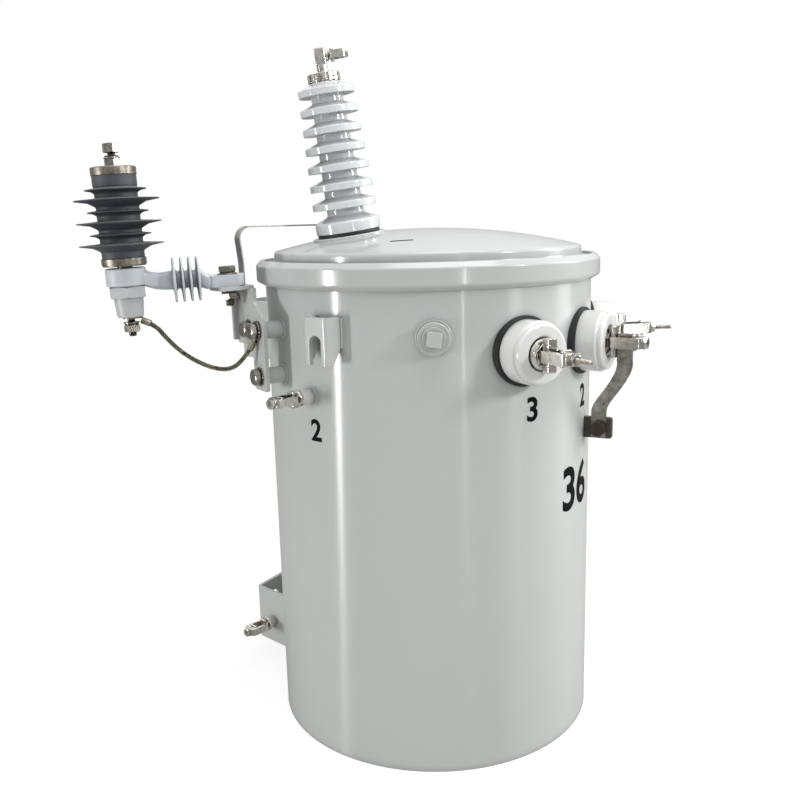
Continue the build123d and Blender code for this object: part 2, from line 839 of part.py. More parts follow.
with BuildPart() as arm_bolt:
    arm_top = arm_seat.offset(arm_pad_thickness)
    tab_under = Plane(arm_seat.origin - arm_up * tab_thickness, x_dir=arm_along, z_dir=arm_up * -1)
    disc(arm_top, washer_radius, washer_height)
    hex_prism(arm_top.offset(washer_height), bolt_across, bolt_head_height)
    disc(arm_top, bolt_radius, -arm_pad_thickness - tab_thickness - washer_height - nut_height - bolt_tail)
    disc(tab_under, washer_radius, washer_height)
    hex_prism(tab_under.offset(washer_height), bolt_across, nut_height)
finish(arm_bolt.part, "arm_bolt")

# Arrester: bottom cap with its neck, shedded housing, top cap and terminal
with BuildPart() as arrester_bottom_cap:
    disc(arrester_seat.offset(stack_gap), cap_radius, cap_height)
    fillet(arrester_bottom_cap.edges().filter_by(GeomType.CIRCLE), cap_round)
    disc(arrester_seat, stack_neck_radius, stack_gap + cap_round)
finish(arrester_bottom_cap.part, "arrester_bottom_cap")

housing_seat = arrester_seat.offset(stack_gap + cap_height)
sheds = [(share, small_shed_radius, small_shed_root) for share in small_shed_shares]
sheds += [(share, large_shed_radius, large_shed_root) for share in large_shed_shares]
with BuildPart() as arrester_housing:
    with BuildSketch(turning(housing_seat)):
        with BuildLine():
            outline = [(0, 0), (housing_radius, 0)]
            for share, radius, root in sorted(sheds):
                level = share * housing_height
                outline += [
                    (housing_radius, level - root),
                    (
                        housing_radius + (radius - housing_radius) * shed_flare_share,
                        level - shed_tip - (root - shed_tip) * shed_thin_share,
                    ),
                    (radius, level - shed_tip),
                    (radius, level),
                    (housing_radius, level + shed_rise),
                ]
            outline += [
                (housing_radius, housing_height - housing_collar_height),
                (housing_collar_radius, housing_height - housing_collar_height),
                (housing_collar_radius, housing_height),
                (0, housing_height),
            ]
            Polyline(*outline, close=True)
        make_face()
    revolve(axis=axis_of(housing_seat))
finish(arrester_housing.part, "arrester_housing")

top_seat = housing_seat.offset(housing_height)
with BuildPart() as arrester_top_cap:
    disc(top_seat, cap_radius, cap_height)
    fillet(arrester_top_cap.edges().filter_by(GeomType.CIRCLE), cap_round)
finish(arrester_top_cap.part, "arrester_top_cap")

terminal_seat = top_seat.offset(cap_height)
with BuildPart() as arrester_terminal:
    plate_seat = terminal_seat.offset(terminal_nut_height)
    head_seat = plate_seat.offset(terminal_plate_height * 2)
    hex_prism(terminal_seat, terminal_across, terminal_nut_height)
    disc(plate_seat, terminal_plate_radius, terminal_plate_height)
    disc(plate_seat, terminal_radius, terminal_plate_height * 2)
    hex_prism(head_seat, terminal_across, terminal_head_height, terminal_head_turn)
finish(arrester_terminal.part, "arrester_terminal")

# Disconnector cup below the collar, with the stud that carries the lead
with BuildPart() as disconnector:
    hex_prism(hanging_seat, disconnector_across, disconnector_collar_height)
    cup_seat = hanging_seat.offset(disconnector_collar_height)
    with BuildSketch(turning(cup_seat)):
        with BuildLine():
            Polyline((0, 0), (cup_top_radius, 0), (cup_foot_radius, cup_height), (0, cup_height), close=True)
        make_face()
        fillet(vertices().sort_by_distance((cup_foot_radius, cup_height))[0], cup_round)
    revolve(axis=axis_of(cup_seat))
finish(disconnector.part, "disconnector")

stud_seat = cup_seat.offset(cup_height)
with BuildPart() as disconnector_stud:
    disc(stud_seat, stud_radius, stud_length)
    lug_under = stud_seat.offset(stud_nut_drop - washer_height)
    disc(lug_under, terminal_plate_radius, washer_height)
    hex_prism(stud_seat.offset(stud_nut_drop), stud_nut_across, stud_nut_height)
finish(disconnector_stud.part, "disconnector_stud")

# High voltage bushing: gasket, shedded porcelain, notched cap nut and terminal
with BuildPart() as bushing_gasket:
    disc(bushing_seat, bushing_gasket_radius, bushing_gasket_height)
    disc(bushing_seat, bushing_spigot_radius + seat_gap, bushing_gasket_height, Mode.SUBTRACT)
finish(bushing_gasket.part, "bushing_gasket")

porcelain_seat = bushing_seat.offset(bushing_gasket_height)
shaft_run = bushing_height - bushing_flange_height - bushing_flange_cone


def shaft_radius(level: float) -> float:
    """The porcelain's bare radius at a height above its seat."""
    share = (level - bushing_flange_height - bushing_flange_cone) / shaft_run
    return bushing_foot_radius + (bushing_neck_radius - bushing_foot_radius) * share


with BuildPart() as bushing_porcelain:
    with BuildSketch(turning(porcelain_seat)):
        rims = [(bushing_flange_radius, 0), (bushing_flange_radius, bushing_flange_height)]
        flange_top = bushing_flange_height + bushing_flange_cone
        outline = [(0, 0), *rims, (shaft_radius(flange_top), flange_top)]
        for number in range(bushing_shed_count):
            under = bushing_shed_first + number * bushing_shed_pitch
            over = under + bushing_shed_edge + bushing_shed_cone
            taper = number / (bushing_shed_count - 1)
            reach = bushing_low_shed_radius + (bushing_high_shed_radius - bushing_low_shed_radius) * taper
            edge = [(reach, under), (reach, under + bushing_shed_edge)]
            rims += edge
            outline += [(shaft_radius(under), under), *edge, (shaft_radius(over), over)]
        outline += [(bushing_neck_radius, bushing_height), (0, bushing_height)]
        with BuildLine():
            Polyline(*outline, close=True)
        make_face()
        fillet([vertices().sort_by_distance(rim)[0] for rim in rims[1:]], bushing_shed_round)
    revolve(axis=axis_of(porcelain_seat))
    disc(porcelain_seat, bushing_spigot_radius, -bushing_spigot_depth)
finish(bushing_porcelain.part, "bushing_porcelain")

nut_seat = porcelain_seat.offset(bushing_height)
with BuildPart() as bushing_cap_nut:
    disc(nut_seat, cap_nut_radius, cap_nut_height)
    with BuildSketch(nut_seat.offset(-overrun)):
        with PolarLocations(cap_nut_radius, cap_nut_notches):
            Rectangle(cap_nut_notch_depth * 2, cap_nut_notch_width)
    extrude(amount=cap_nut_height + overrun * 2, mode=Mode.SUBTRACT)
finish(bushing_cap_nut.part, "bushing_cap_nut")


def eyebolt(seat: Plane, size: EyeSizes) -> None:
    """Adds an eyebolt on a seat: collar, shank, jaw and the eye with its screw hole."""
    disc(seat, size.collar_radius, size.collar_height)
    disc(seat.offset(size.collar_height), size.shank_radius, size.shank_length)
    jaw_seat = seat.offset(size.collar_height + size.shank_length)
    with BuildSketch(jaw_seat) as jaw:
        RectangleRounded(size.jaw_width, size.jaw_height, size.eye_arm / 2)
    extrude(jaw.sketch, amount=size.jaw_depth)
    eye_foot = jaw_seat.offset(size.jaw_depth)
    window = size.eye_length - size.eye_arm * 2
    with BuildSketch(Plane(eye_foot.origin, x_dir=seat.x_dir, z_dir=seat.y_dir * -1)) as eye:
        Rectangle(size.eye_width, size.eye_length, align=(Align.CENTER, Align.MIN))
        fillet(eye.vertices().group_by(Axis.Y)[-1], size.eye_round)
        Rectangle(
            size.eye_width - size.eye_arm * 2,
            window,
            align=(Align.CENTER, Align.MIN),
            mode=Mode.SUBTRACT,
        )
    extrude(eye.sketch, amount=size.eye_height / 2, both=True)
    disc(
        eye_foot.offset(window - overrun),
        size.screw_radius + seat_gap,
        size.eye_arm * 2 + overrun * 2,
        Mode.SUBTRACT,
    )


def eye_clamp(seat: Plane, size: EyeSizes) -> None:
    """Adds the saddle and the screw that close an eyebolt."""
    foot = seat.offset(size.collar_height + size.shank_length + size.jaw_depth)
    window = size.eye_length - size.eye_arm * 2
    saddle_seat = foot.offset(window - size.saddle_depth - seat_gap)
    with BuildSketch(saddle_seat) as saddle:
        RectangleRounded(
            size.eye_width - size.eye_arm * 2 - seat_gap * 2, size.jaw_height * 2 / 3, size.eye_arm / 2
        )
    extrude(saddle.sketch, amount=size.saddle_depth)
    screw_run = size.saddle_depth + size.eye_arm * 2 + seat_gap * 2
    disc(saddle_seat, size.screw_radius, screw_run + size.screw_head_height + size.screw_tail)
    hex_prism(
        foot.offset(size.eye_length), size.screw_head_radius * 2, size.screw_head_height
    )


stem_seat = nut_seat.offset(cap_nut_height)
with BuildPart() as bushing_terminal:
    disc(stem_seat, terminal_stem_radius, terminal_stem_height)
    block_seat = stem_seat.offset(terminal_stem_height)
    turn = bushing_terminal_turn - bushing_angle + 90
    with BuildSketch(block_seat):
        Rectangle(terminal_block_width, terminal_block_width, rotation=turn)
        fillet(vertices(), terminal_block_round)
    extrude(amount=terminal_block_height)
    level = Vector(
        math.cos(math.radians(bushing_terminal_turn)), math.sin(math.radians(bushing_terminal_turn)), 0
    )
    along = (level - bushing_normal * level.dot(bushing_normal)).normalized()
    clamp_seat = Plane(
        block_seat.origin + bushing_normal * terminal_block_height / 2 + along * terminal_block_width / 2,
        x_dir=bushing_normal.cross(along),
        z_dir=along,
    )
    eyebolt(clamp_seat, terminal_eye)
finish(bushing_terminal.part, "bushing_terminal")

with BuildPart() as bushing_clamp:
    eye_clamp(clamp_seat, terminal_eye)
finish(bushing_clamp.part, "bushing_clamp")

# Ground connectors: on the wall's boss, and on the lower hanger's near leg
ground_boss_face = round_tank(ground_boss_angle, tank_radius + ground_boss_length, ground_boss_height)
leg_root = tank_radius - hanger_foot_width / 4
leg_run = Vector(hanger_reach - leg_root, (hanger_foot_width - hanger_web_width) / 2, 0)
leg_turn = math.degrees(math.atan2(leg_run.Y, leg_run.X))
leg_normal = outward(hanger_angle + 90 - leg_turn)
leg_level = (hanger_reach - hanger_ground_reach) / leg_run.X * leg_run.Y + hanger_web_width / 2
leg_seat = Plane(
    outward(hanger_angle) * hanger_ground_reach
    + outward(hanger_angle + 90) * leg_level
    + Vector(0, 0, hanger_ground_height),
    x_dir=Vector(-leg_normal.Y, leg_normal.X, 0),
    z_dir=leg_normal,
)
with BuildPart() as hanger_boss:
    disc(leg_seat, hanger_boss_radius, hanger_boss_length)
finish(hanger_boss.part, "hanger_boss")

for name, seat in (
    ("wall_ground", ground_boss_face),
    ("hanger_ground", leg_seat.offset(hanger_boss_length)),
):
    with BuildPart() as connector:
        eyebolt(seat, ground_eye)
    finish(connector.part, f"{name}_eyebolt")
    with BuildPart() as clamp:
        eye_clamp(seat, ground_eye)
    finish(clamp.part, f"{name}_clamp")

# Low voltage bushings: a saddle gasket, stepped porcelain, eyebolt and clamp each
for number, seat in enumerate(lv_seats, 1):
    with BuildPart() as gasket:
        gasket_face = seat.offset(lv_gasket_height)
        disc(gasket_face, lv_gasket_radius, -lv_gasket_height - weld_bite)
        Cylinder(tank_radius, tank_height * 2, mode=Mode.SUBTRACT)
        disc(gasket_face, lv_spigot_radius + seat_gap, -lv_gasket_height - weld_bite, Mode.SUBTRACT)
    finish(gasket.part, f"lv_gasket_{number}")
    with BuildPart() as porcelain:
        with BuildSketch(turning(seat)):
            step = lv_gasket_height + lv_base_height
            rims = [(lv_base_radius, step), (lv_nose_radius, lv_face)]
            with BuildLine():
                Polyline(
                    (0, -lv_spigot_depth),
                    (lv_spigot_radius, -lv_spigot_depth),
                    (lv_spigot_radius, lv_gasket_height),
                    (lv_base_radius, lv_gasket_height),
                    rims[0],
                    (lv_nose_radius, step),
                    rims[1],
                    (lv_recess_radius, lv_face),
                    (lv_recess_radius, lv_face - lv_recess_depth),
                    (0, lv_face - lv_recess_depth),
                    close=True,
                )
            make_face()
            for rim, rounding in zip(rims, (lv_base_round, lv_nose_round)):
                fillet(vertices().sort_by_distance(rim)[0], rounding)
        revolve(axis=axis_of(seat))
    finish(porcelain.part, f"lv_bushing_{number}")
    eye_seat = seat.offset(lv_face - lv_recess_depth)
    eye_sizes = neutral_eye if seat == lv_seats[1] else lv_eye
    with BuildPart() as eye:
        eyebolt(eye_seat, eye_sizes)
    finish(eye.part, f"lv_eyebolt_{number}")
    with BuildPart() as clamp:
        eye_clamp(eye_seat, eye_sizes)
    finish(clamp.part, f"lv_clamp_{number}")

# Ground tab that stands out from the wall, its bolt, and the strap up to the middle bushing
tab_plane = upright(tab_angle)
tab_near = tab_plane.offset(ground_tab_thickness / 2)
with BuildPart() as ground_tab:
    with BuildSketch(tab_plane):
        tab_length = ground_tab_reach - tank_radius + weld_bite
        with Locations((ground_tab_reach - tab_length / 2, ground_tab_height)):
            Rectangle(tab_length, ground_tab_size)
        fillet(vertices().group_by(Axis.X)[-1], ground_tab_corner)
        with Locations((strap_foot_reach, ground_tab_height)):
            Circle(bolt_radius + seat_gap, mode=Mode.SUBTRACT)
    extrude(amount=ground_tab_thickness / 2, both=True)
    Cylinder(tank_radius, tank_height * 2, mode=Mode.SUBTRACT)
finish(ground_tab.part, "ground_tab")

# The strap starts inside the middle eyebolt, sways in to the wall and lies flat on the tab
jaw_face = neutral_eye.collar_height + neutral_eye.shank_length + neutral_eye.jaw_depth
eye_inner = tank_radius + lv_face - lv_recess_depth + jaw_face
strap_reach = eye_inner + seat_gap + strap_width / 2
strap_top = outward(lv_angles[1]) * strap_reach + Vector(0, 0, strap_top_height)
strap_lay = tab_near.z_dir * (ground_tab_thickness / 2 + strap_thickness / 2)
strap_bend = outward(tab_angle) * strap_foot_reach + strap_lay + Vector(0, 0, strap_bend_height)
with BuildPart() as ground_strap:
    with BuildSketch(Plane(strap_top, x_dir=outward(lv_angles[1]), z_dir=Vector(0, 0, 1))):
        Rectangle(strap_width, strap_thickness)
    extrude(amount=strap_jaw_height - strap_top_height)
    for drop, inset in zip(strap_drop_shares, strap_inset_shares):
        point = strap_top + (strap_bend - strap_top) * inset
        level = strap_jaw_height + (strap_bend_height - strap_jaw_height) * drop
        turned = outward(tab_angle * drop - strap_turn * drop * (1 - drop))
        with BuildSketch(Plane((point.X, point.Y, level), x_dir=turned, z_dir=Vector(0, 0, 1))):
            Rectangle(strap_width, strap_thickness)
    loft()
    with BuildSketch(Plane(strap_bend, x_dir=outward(tab_angle), z_dir=Vector(0, 0, 1))):
        Rectangle(strap_width, strap_thickness)
    extrude(amount=strap_foot_height - strap_bend_height)
    strap_bolt_seat = Plane(
        outward(tab_angle) * strap_foot_reach + Vector(0, 0, ground_tab_height),
        x_dir=tab_plane.x_dir,
        z_dir=tab_plane.z_dir,
    )
    disc(strap_bolt_seat, bolt_radius + seat_gap, ground_tab_thickness + overrun, Mode.SUBTRACT)
finish(ground_strap.part, "ground_strap")

with BuildPart() as ground_tab_bolt:
    strap_face = strap_bolt_seat.offset(ground_tab_thickness / 2 + strap_thickness)
    tab_far = Plane(
        strap_bolt_seat.origin - tab_plane.z_dir * ground_tab_thickness / 2,
        x_dir=tab_plane.x_dir,
        z_dir=tab_plane.z_dir * -1,
    )
    hex_prism(strap_face, bolt_across, bolt_head_height)
    disc(strap_face, bolt_radius, -strap_thickness - ground_tab_thickness - nut_height - overrun)
    hex_prism(tab_far, bolt_across, nut_height)
finish(ground_tab_bolt.part, "ground_tab_bolt")

# Flat strap that bonds the cover to the bracket, turned to pass behind the bushing, with its rivet and stud
rivet_seat = Plane(
    bracket_side.origin + bracket_side.x_dir * cover_strap_offset + Vector(0, 0, rivet_height),
    x_dir=bracket_side.x_dir,
    z_dir=bracket_side.z_dir,
)
bushing_turn = math.radians(bushing_angle - arrester_angle)
strap_pass = bushing_flange_radius + cover_strap_width / 2 + cover_strap_pass
strap_sway = cover_strap_offset - bushing_reach * math.sin(bushing_turn) + strap_pass
strap_run = plate_back - bushing_reach * math.cos(bushing_turn)
cover_strap_turn = math.degrees(math.atan2(strap_sway, strap_run))
strap_foot_spot = bracket_side.origin + bracket_side.x_dir * cover_strap_offset
strap_out = outward(arrester_angle + cover_strap_turn)
strap_side = Plane(strap_foot_spot, x_dir=strap_out, z_dir=Vector(strap_out.Y, -strap_out.X, 0))
strap_skew = cover_strap_width / 2 * math.sin(math.radians(cover_strap_turn))
strap_back = -cover_strap_thickness / 2 - strap_skew
strap_pack = cover_strap_thickness + strap_skew * 2 + seat_gap
with BuildPart() as cover_strap:
    with BuildSketch(strap_side):
        with BuildLine():
            FilletPolyline(
                (strap_back, cover_strap_foot),
                (strap_back, band_top),
                (strap_back + cover_strap_lean, cover_strap_top),
                (cover_strap_end - plate_back, cover_strap_top),
                radius=cover_strap_bend,
            )
        trace(line_width=cover_strap_thickness)
    extrude(amount=cover_strap_width / 2, both=True)
    disc(rivet_seat, rivet_radius + seat_gap, -strap_pack - overrun, Mode.SUBTRACT)
    stud_foot = strap_foot_spot + strap_out * (cover_stud_reach - plate_back)
    stud_level = Plane(stud_foot + Vector(0, 0, cover_strap_top))
    disc(stud_level.offset(-overrun), cover_stud_radius + seat_gap, overrun * 2, Mode.SUBTRACT)
finish(cover_strap.part, "cover_strap")

with BuildPart() as strap_rivet:
    disc(rivet_seat.offset(plate_thickness), rivet_head_radius, rivet_head_height)
    disc(rivet_seat.offset(-strap_pack), rivet_radius, plate_thickness + strap_pack)
    disc(rivet_seat.offset(-strap_pack), rivet_head_radius, -rivet_head_height)
finish(strap_rivet.part, "strap_rivet")

with BuildPart() as cover_stud:
    half_strap = cover_strap_thickness / 2
    disc(stud_level, cover_stud_radius, cover_stud_cap * 2)
    stud_dome = cover_crown - dome_drop(math.hypot(stud_foot.X, stud_foot.Y))
    disc(stud_level, cover_stud_radius, stud_dome - cover_thickness / 2 - cover_strap_top)
    hex_prism(stud_level.offset(half_strap), cover_stud_across, cover_stud_cap)
    hex_prism(stud_level.offset(-half_strap), cover_stud_across, -cover_stud_cap)
    add(cover.part, mode=Mode.SUBTRACT)
finish(cover_stud.part, "cover_stud")


def lead_radii(points: tuple) -> list:
    """The bend at each inner point of a route, as wide as its shorter run lets it be."""
    radii = []
    for before, here, after in zip(points, points[1:], points[2:]):
        run_in = Vector(*here) - Vector(*before)
        run_out = Vector(*after) - Vector(*here)
        half_turn = math.radians(run_in.get_angle(run_out)) / 2
        radii.append(lead_fillet_share * min(run_in.length, run_out.length) / math.tan(half_turn))
    return radii


# Braided ground lead, a plain tube along its route from the stud's lug to the bracket's
plate_lug_seat = Plane(
    plate_face.origin + Vector(0, 0, boss_heights[1]), x_dir=plate_face.x_dir, z_dir=plate_face.z_dir
)
off_stud = [stud_seat.from_local_coords(Vector(*spot)) for spot in lead_stud_run]
to_plate = [plate_lug_seat.from_local_coords(Vector(*spot)) for spot in lead_plate_run]
hanging = [
    off_stud[-1] + (to_plate[0] - off_stud[-1]) * share - Vector(0, 0, sag)
    for share, sag in zip(lead_middle_shares, lead_sags)
]
lead_route = (*off_stud, *hanging, *to_plate)
bends = lead_radii(lead_route)
with BuildPart() as ground_lead:
    with BuildLine() as lead_path:
        FilletPolyline(*lead_route, radius=bends)
    with BuildSketch(Plane(lead_path.line @ 0, z_dir=lead_path.line % 0)):
        Circle(lead_radius)
    sweep()
lead_length = sum(edge.length for edge in lead_path.edges())
print("lead route", [tuple(round(v, 1) for v in point) for point in lead_route])
print("lead bends", [round(bend, 1) for bend in bends], "length", round(lead_length, 1))
print("lead volume share", round(ground_lead.part.volume / (math.pi * lead_radius**2 * lead_length), 4))
finish(ground_lead.part, "ground_lead")

# Crimped lugs at the two ends of the lead
lug_spots = (
    (stud_seat, stud_radius, lead_route[0], lead_route[1]),
    (plate_lug_seat, bolt_radius, lead_route[-1], lead_route[-2]),
)
with BuildPart() as lead_lugs:
    for seat, hole, end, after in lug_spots:
        tail = seat.to_local_coords(Vector(*end))
        flat = math.hypot(tail.X, tail.Y)
        with BuildSketch(seat):
            Circle(lead_lug_width / 2 + overrun)
            with Locations(Rot(0, 0, math.degrees(math.atan2(tail.Y, tail.X)))):
                with Locations((flat / 2, 0)):
                    Rectangle(flat, lead_lug_width / 2)
        extrude(amount=lead_lug_thickness)
        along = (Vector(*after) - Vector(*end)).normalized()
        barrel = Plane(Vector(*end) - along * lead_barrel_wall, z_dir=along)
        disc(barrel, lead_radius + lead_barrel_wall, lead_barrel_length)
        mouth = barrel.offset(lead_barrel_wall)
        disc(mouth, lead_radius + seat_gap, lead_barrel_length + overrun, Mode.SUBTRACT)
        disc(seat.offset(-overrun), hole + seat_gap, lead_lug_thickness + overrun * 2, Mode.SUBTRACT)
finish(lead_lugs.part, "lead_lugs")
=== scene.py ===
"""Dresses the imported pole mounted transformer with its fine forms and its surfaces.

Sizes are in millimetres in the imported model's frame: z is up and the tank's axis is at x = y = 0.
"""

import sys
import logging
import math
from dataclasses import dataclass, field
from enum import Enum
from functools import partial
from typing import Sequence

import bmesh
import bpy
from mathutils import Matrix, Vector


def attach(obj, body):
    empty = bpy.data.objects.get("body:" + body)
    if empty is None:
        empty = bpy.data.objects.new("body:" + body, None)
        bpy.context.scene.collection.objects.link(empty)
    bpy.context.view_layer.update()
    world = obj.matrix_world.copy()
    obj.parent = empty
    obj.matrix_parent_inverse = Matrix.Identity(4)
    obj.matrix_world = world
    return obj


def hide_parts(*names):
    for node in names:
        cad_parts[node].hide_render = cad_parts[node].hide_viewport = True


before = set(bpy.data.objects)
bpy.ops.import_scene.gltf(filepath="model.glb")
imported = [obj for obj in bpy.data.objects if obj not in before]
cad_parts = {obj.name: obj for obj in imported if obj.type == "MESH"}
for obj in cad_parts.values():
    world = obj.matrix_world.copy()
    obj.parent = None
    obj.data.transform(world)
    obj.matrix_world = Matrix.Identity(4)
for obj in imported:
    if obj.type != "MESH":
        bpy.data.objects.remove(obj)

MM = 0.001
UP = Vector((0, 0, 1))
LOG = logging.getLogger("transformer")
Pair = tuple[float, float]
Triple = tuple[float, float, float]
Quad = tuple[float, float, float, float]
Profile = list[Pair]
Tree = bpy.types.NodeTree
Socket = bpy.types.NodeSocket


def linear(colour: str) -> Quad:
    """Turns an sRGB hex colour, six digits after a hash, to linear light with a full alpha."""
    parts = [int(colour[i : i + 2], 16) / 255 for i in (1, 3, 5)]
    red, green, blue = (p / 12.92 if p <= 0.04045 else ((p + 0.055) / 1.055) ** 2.4 for p in parts)
    return red, green, blue, 1.0


def bare_tree(owner: bpy.types.Material | bpy.types.World) -> Tree:
    """Empties the owner's node tree."""
    owner.use_nodes = True
    owner.node_tree.nodes.clear()
    return owner.node_tree


def add_node(
    tree: Tree, kind: str, inputs: dict[str | int, object] | None = None, **settings: object
) -> bpy.types.Node:
    """Adds a node.

    Args:
        tree: The node tree that it goes in.
        kind: The node's type.
        inputs: What its inputs hold: a value, or the output that feeds it.
        settings: The node's own properties.

    Returns:
        The new node.
    """
    node = tree.nodes.new(kind)
    for name, setting in settings.items():
        setattr(node, name, setting)
    for key, value in (inputs or {}).items():
        if isinstance(value, Socket):
            tree.links.new(value, node.inputs[key])
        else:
            node.inputs[key].default_value = value
    return node


def noise(tree: Tree, place: Socket, size: float, detail: float, roughness: float = 0.5) -> Socket:
    """Draws cloudy noise of a size in millimetres."""
    inputs = {"Vector": place, "Scale": 1 / (size * MM), "Detail": detail, "Roughness": roughness}
    return add_node(tree, "ShaderNodeTexNoise", inputs).outputs["Fac"]


def mapped(tree: Tree, value: Socket, start: Sequence[float], end: Sequence[object]) -> Socket:
    """Brings a value from one run of numbers to another."""
    runs = dict(zip(("From Min", "From Max", "To Min", "To Max"), (*start, *end)))
    return add_node(tree, "ShaderNodeMapRange", {"Value": value, **runs}).outputs["Result"]


def mixed(tree: Tree, share: object, first: object, second: object) -> Socket:
    """Mixes two colours by the second one's share; each is a value or an output."""
    inputs = {0: share, 6: first, 7: second}
    return add_node(tree, "ShaderNodeMix", inputs, data_type="RGBA").outputs[2]


@dataclass(frozen=True)
class Finish:
    """A surface: its two colours, how they mottle, its gloss, its fine relief, and the shade painted into its
    corners.
    """

    name: str
    slot: str
    colour: str
    shade: str
    gloss: Pair
    mottle: float
    relief: float
    relief_size: float
    metallic: float = 0.0
    coat: float = 0.0
    ior: float = 1.5
    # The next three set the shade painted into corners: how far it reaches, how dark it gets and how many
    # rays find it
    corner: float = 10.0
    corner_shade_share: float = 0.5
    corner_samples: int = 6
    grain: float = 0.0
    grain_turn: float = 0.25
    cloud_run: Pair = (0.3, 0.7)

    def material(self) -> bpy.types.Material:
        """Makes the material once and gives it back after that."""
        found = bpy.data.materials.get(self.name)
        if found:
            return found
        material = bpy.data.materials.new(self.name)
        material.diffuse_color = linear(self.colour)
        tree = bare_tree(material)
        place = add_node(tree, "ShaderNodeTexCoord").outputs["Object"]
        cloud = noise(tree, place, self.mottle, detail=4.0, roughness=0.55)
        colour = mixed(tree, cloud, linear(self.colour), linear(self.shade))
        fine = noise(tree, place, self.relief_size, detail=2.0)
        bump = {"Strength": 1.0, "Distance": self.relief * MM, "Height": fine}
        inputs: dict[str | int, object] = {
            # The base colour carries painted shade in its corners
            "Base Color": self.painted_corner_shade(tree, self.soiled(tree, place, colour)),
            "Roughness": mapped(tree, cloud, self.cloud_run, self.gloss),
            "Normal": add_node(tree, "ShaderNodeBump", bump).outputs["Normal"],
            "Metallic": self.metallic,
            "Coat Weight": self.coat,
        }
        if not self.metallic:
            inputs["IOR"] = self.ior
        if self.grain:
            around = add_node(tree, "ShaderNodeTangent", direction_type="RADIAL", axis="Z")
            inputs["Tangent"] = around.outputs["Tangent"]
            inputs["Anisotropic"] = self.grain
            inputs["Anisotropic Rotation"] = self.grain_turn
        shader = add_node(tree, "ShaderNodeBsdfPrincipled", inputs)
        add_node(tree, "ShaderNodeOutputMaterial", {"Surface": shader.outputs["BSDF"]})
        return material

    def soiled(self, tree: Tree, place: Socket, colour: Socket) -> Socket:
        """Leaves a clean surface as it is.

        Args:
            tree: The material's nodes.
            place: The place on the part, in metres.
            colour: The clean colour.

        Returns:
            The colour with what lies on it.
        """
        return colour

    def painted_corner_shade(self, tree: Tree, colour: Socket) -> Socket:
        """Paints shade into a colour in its corners, where nearby surfaces hide the light."""
        inputs = {"Distance": self.corner * MM, "Color": colour}
        occluded = add_node(tree, "ShaderNodeAmbientOcclusion", inputs, samples=self.corner_samples)
        return mixed(tree, self.corner_shade_share, colour, occluded.outputs["Color"])


@dataclass(frozen=True)
class DustyFinish(Finish):
    """A surface whose upward faces hold a film of dust."""

    dust: str = "#8d8f92"
    dust_share: float = 0.5
    dust_run: Pair = (0.15, 1.0)
    speck: float = 9.0

    def soiled(self, tree: Tree, place: Socket, colour: Socket) -> Socket:
        """Lays the dust film on what faces up."""
        facing = add_node(tree, "ShaderNodeNewGeometry").outputs["Normal"]
        level = add_node(tree, "ShaderNodeSeparateXYZ", {0: facing}).outputs["Z"]
        film = mapped(tree, level, self.dust_run, (0.0, self.dust_share))
        inputs = {0: film, 1: noise(tree, place, self.speck, detail=5.0, roughness=0.7)}
        share = add_node(tree, "ShaderNodeMath", inputs, operation="MULTIPLY")
        return mixed(tree, share.outputs[0], colour, linear(self.dust))


@dataclass(frozen=True)
class StainedFinish(Finish):
    """A metal with patches of tarnish."""

    stain: str = "#6a5d4c"
    stain_share: float = 0.6
    stain_size: float = 6.0
    stain_run: Pair = (0.42, 0.68)

    def soiled(self, tree: Tree, place: Socket, colour: Socket) -> Socket:
        """Lays the tarnish on in patches."""
        patch = noise(tree, place, self.stain_size, detail=6.0, roughness=0.65)
        share = mapped(tree, patch, self.stain_run, (0.0, self.stain_share))
        return mixed(tree, share, colour, linear(self.stain))


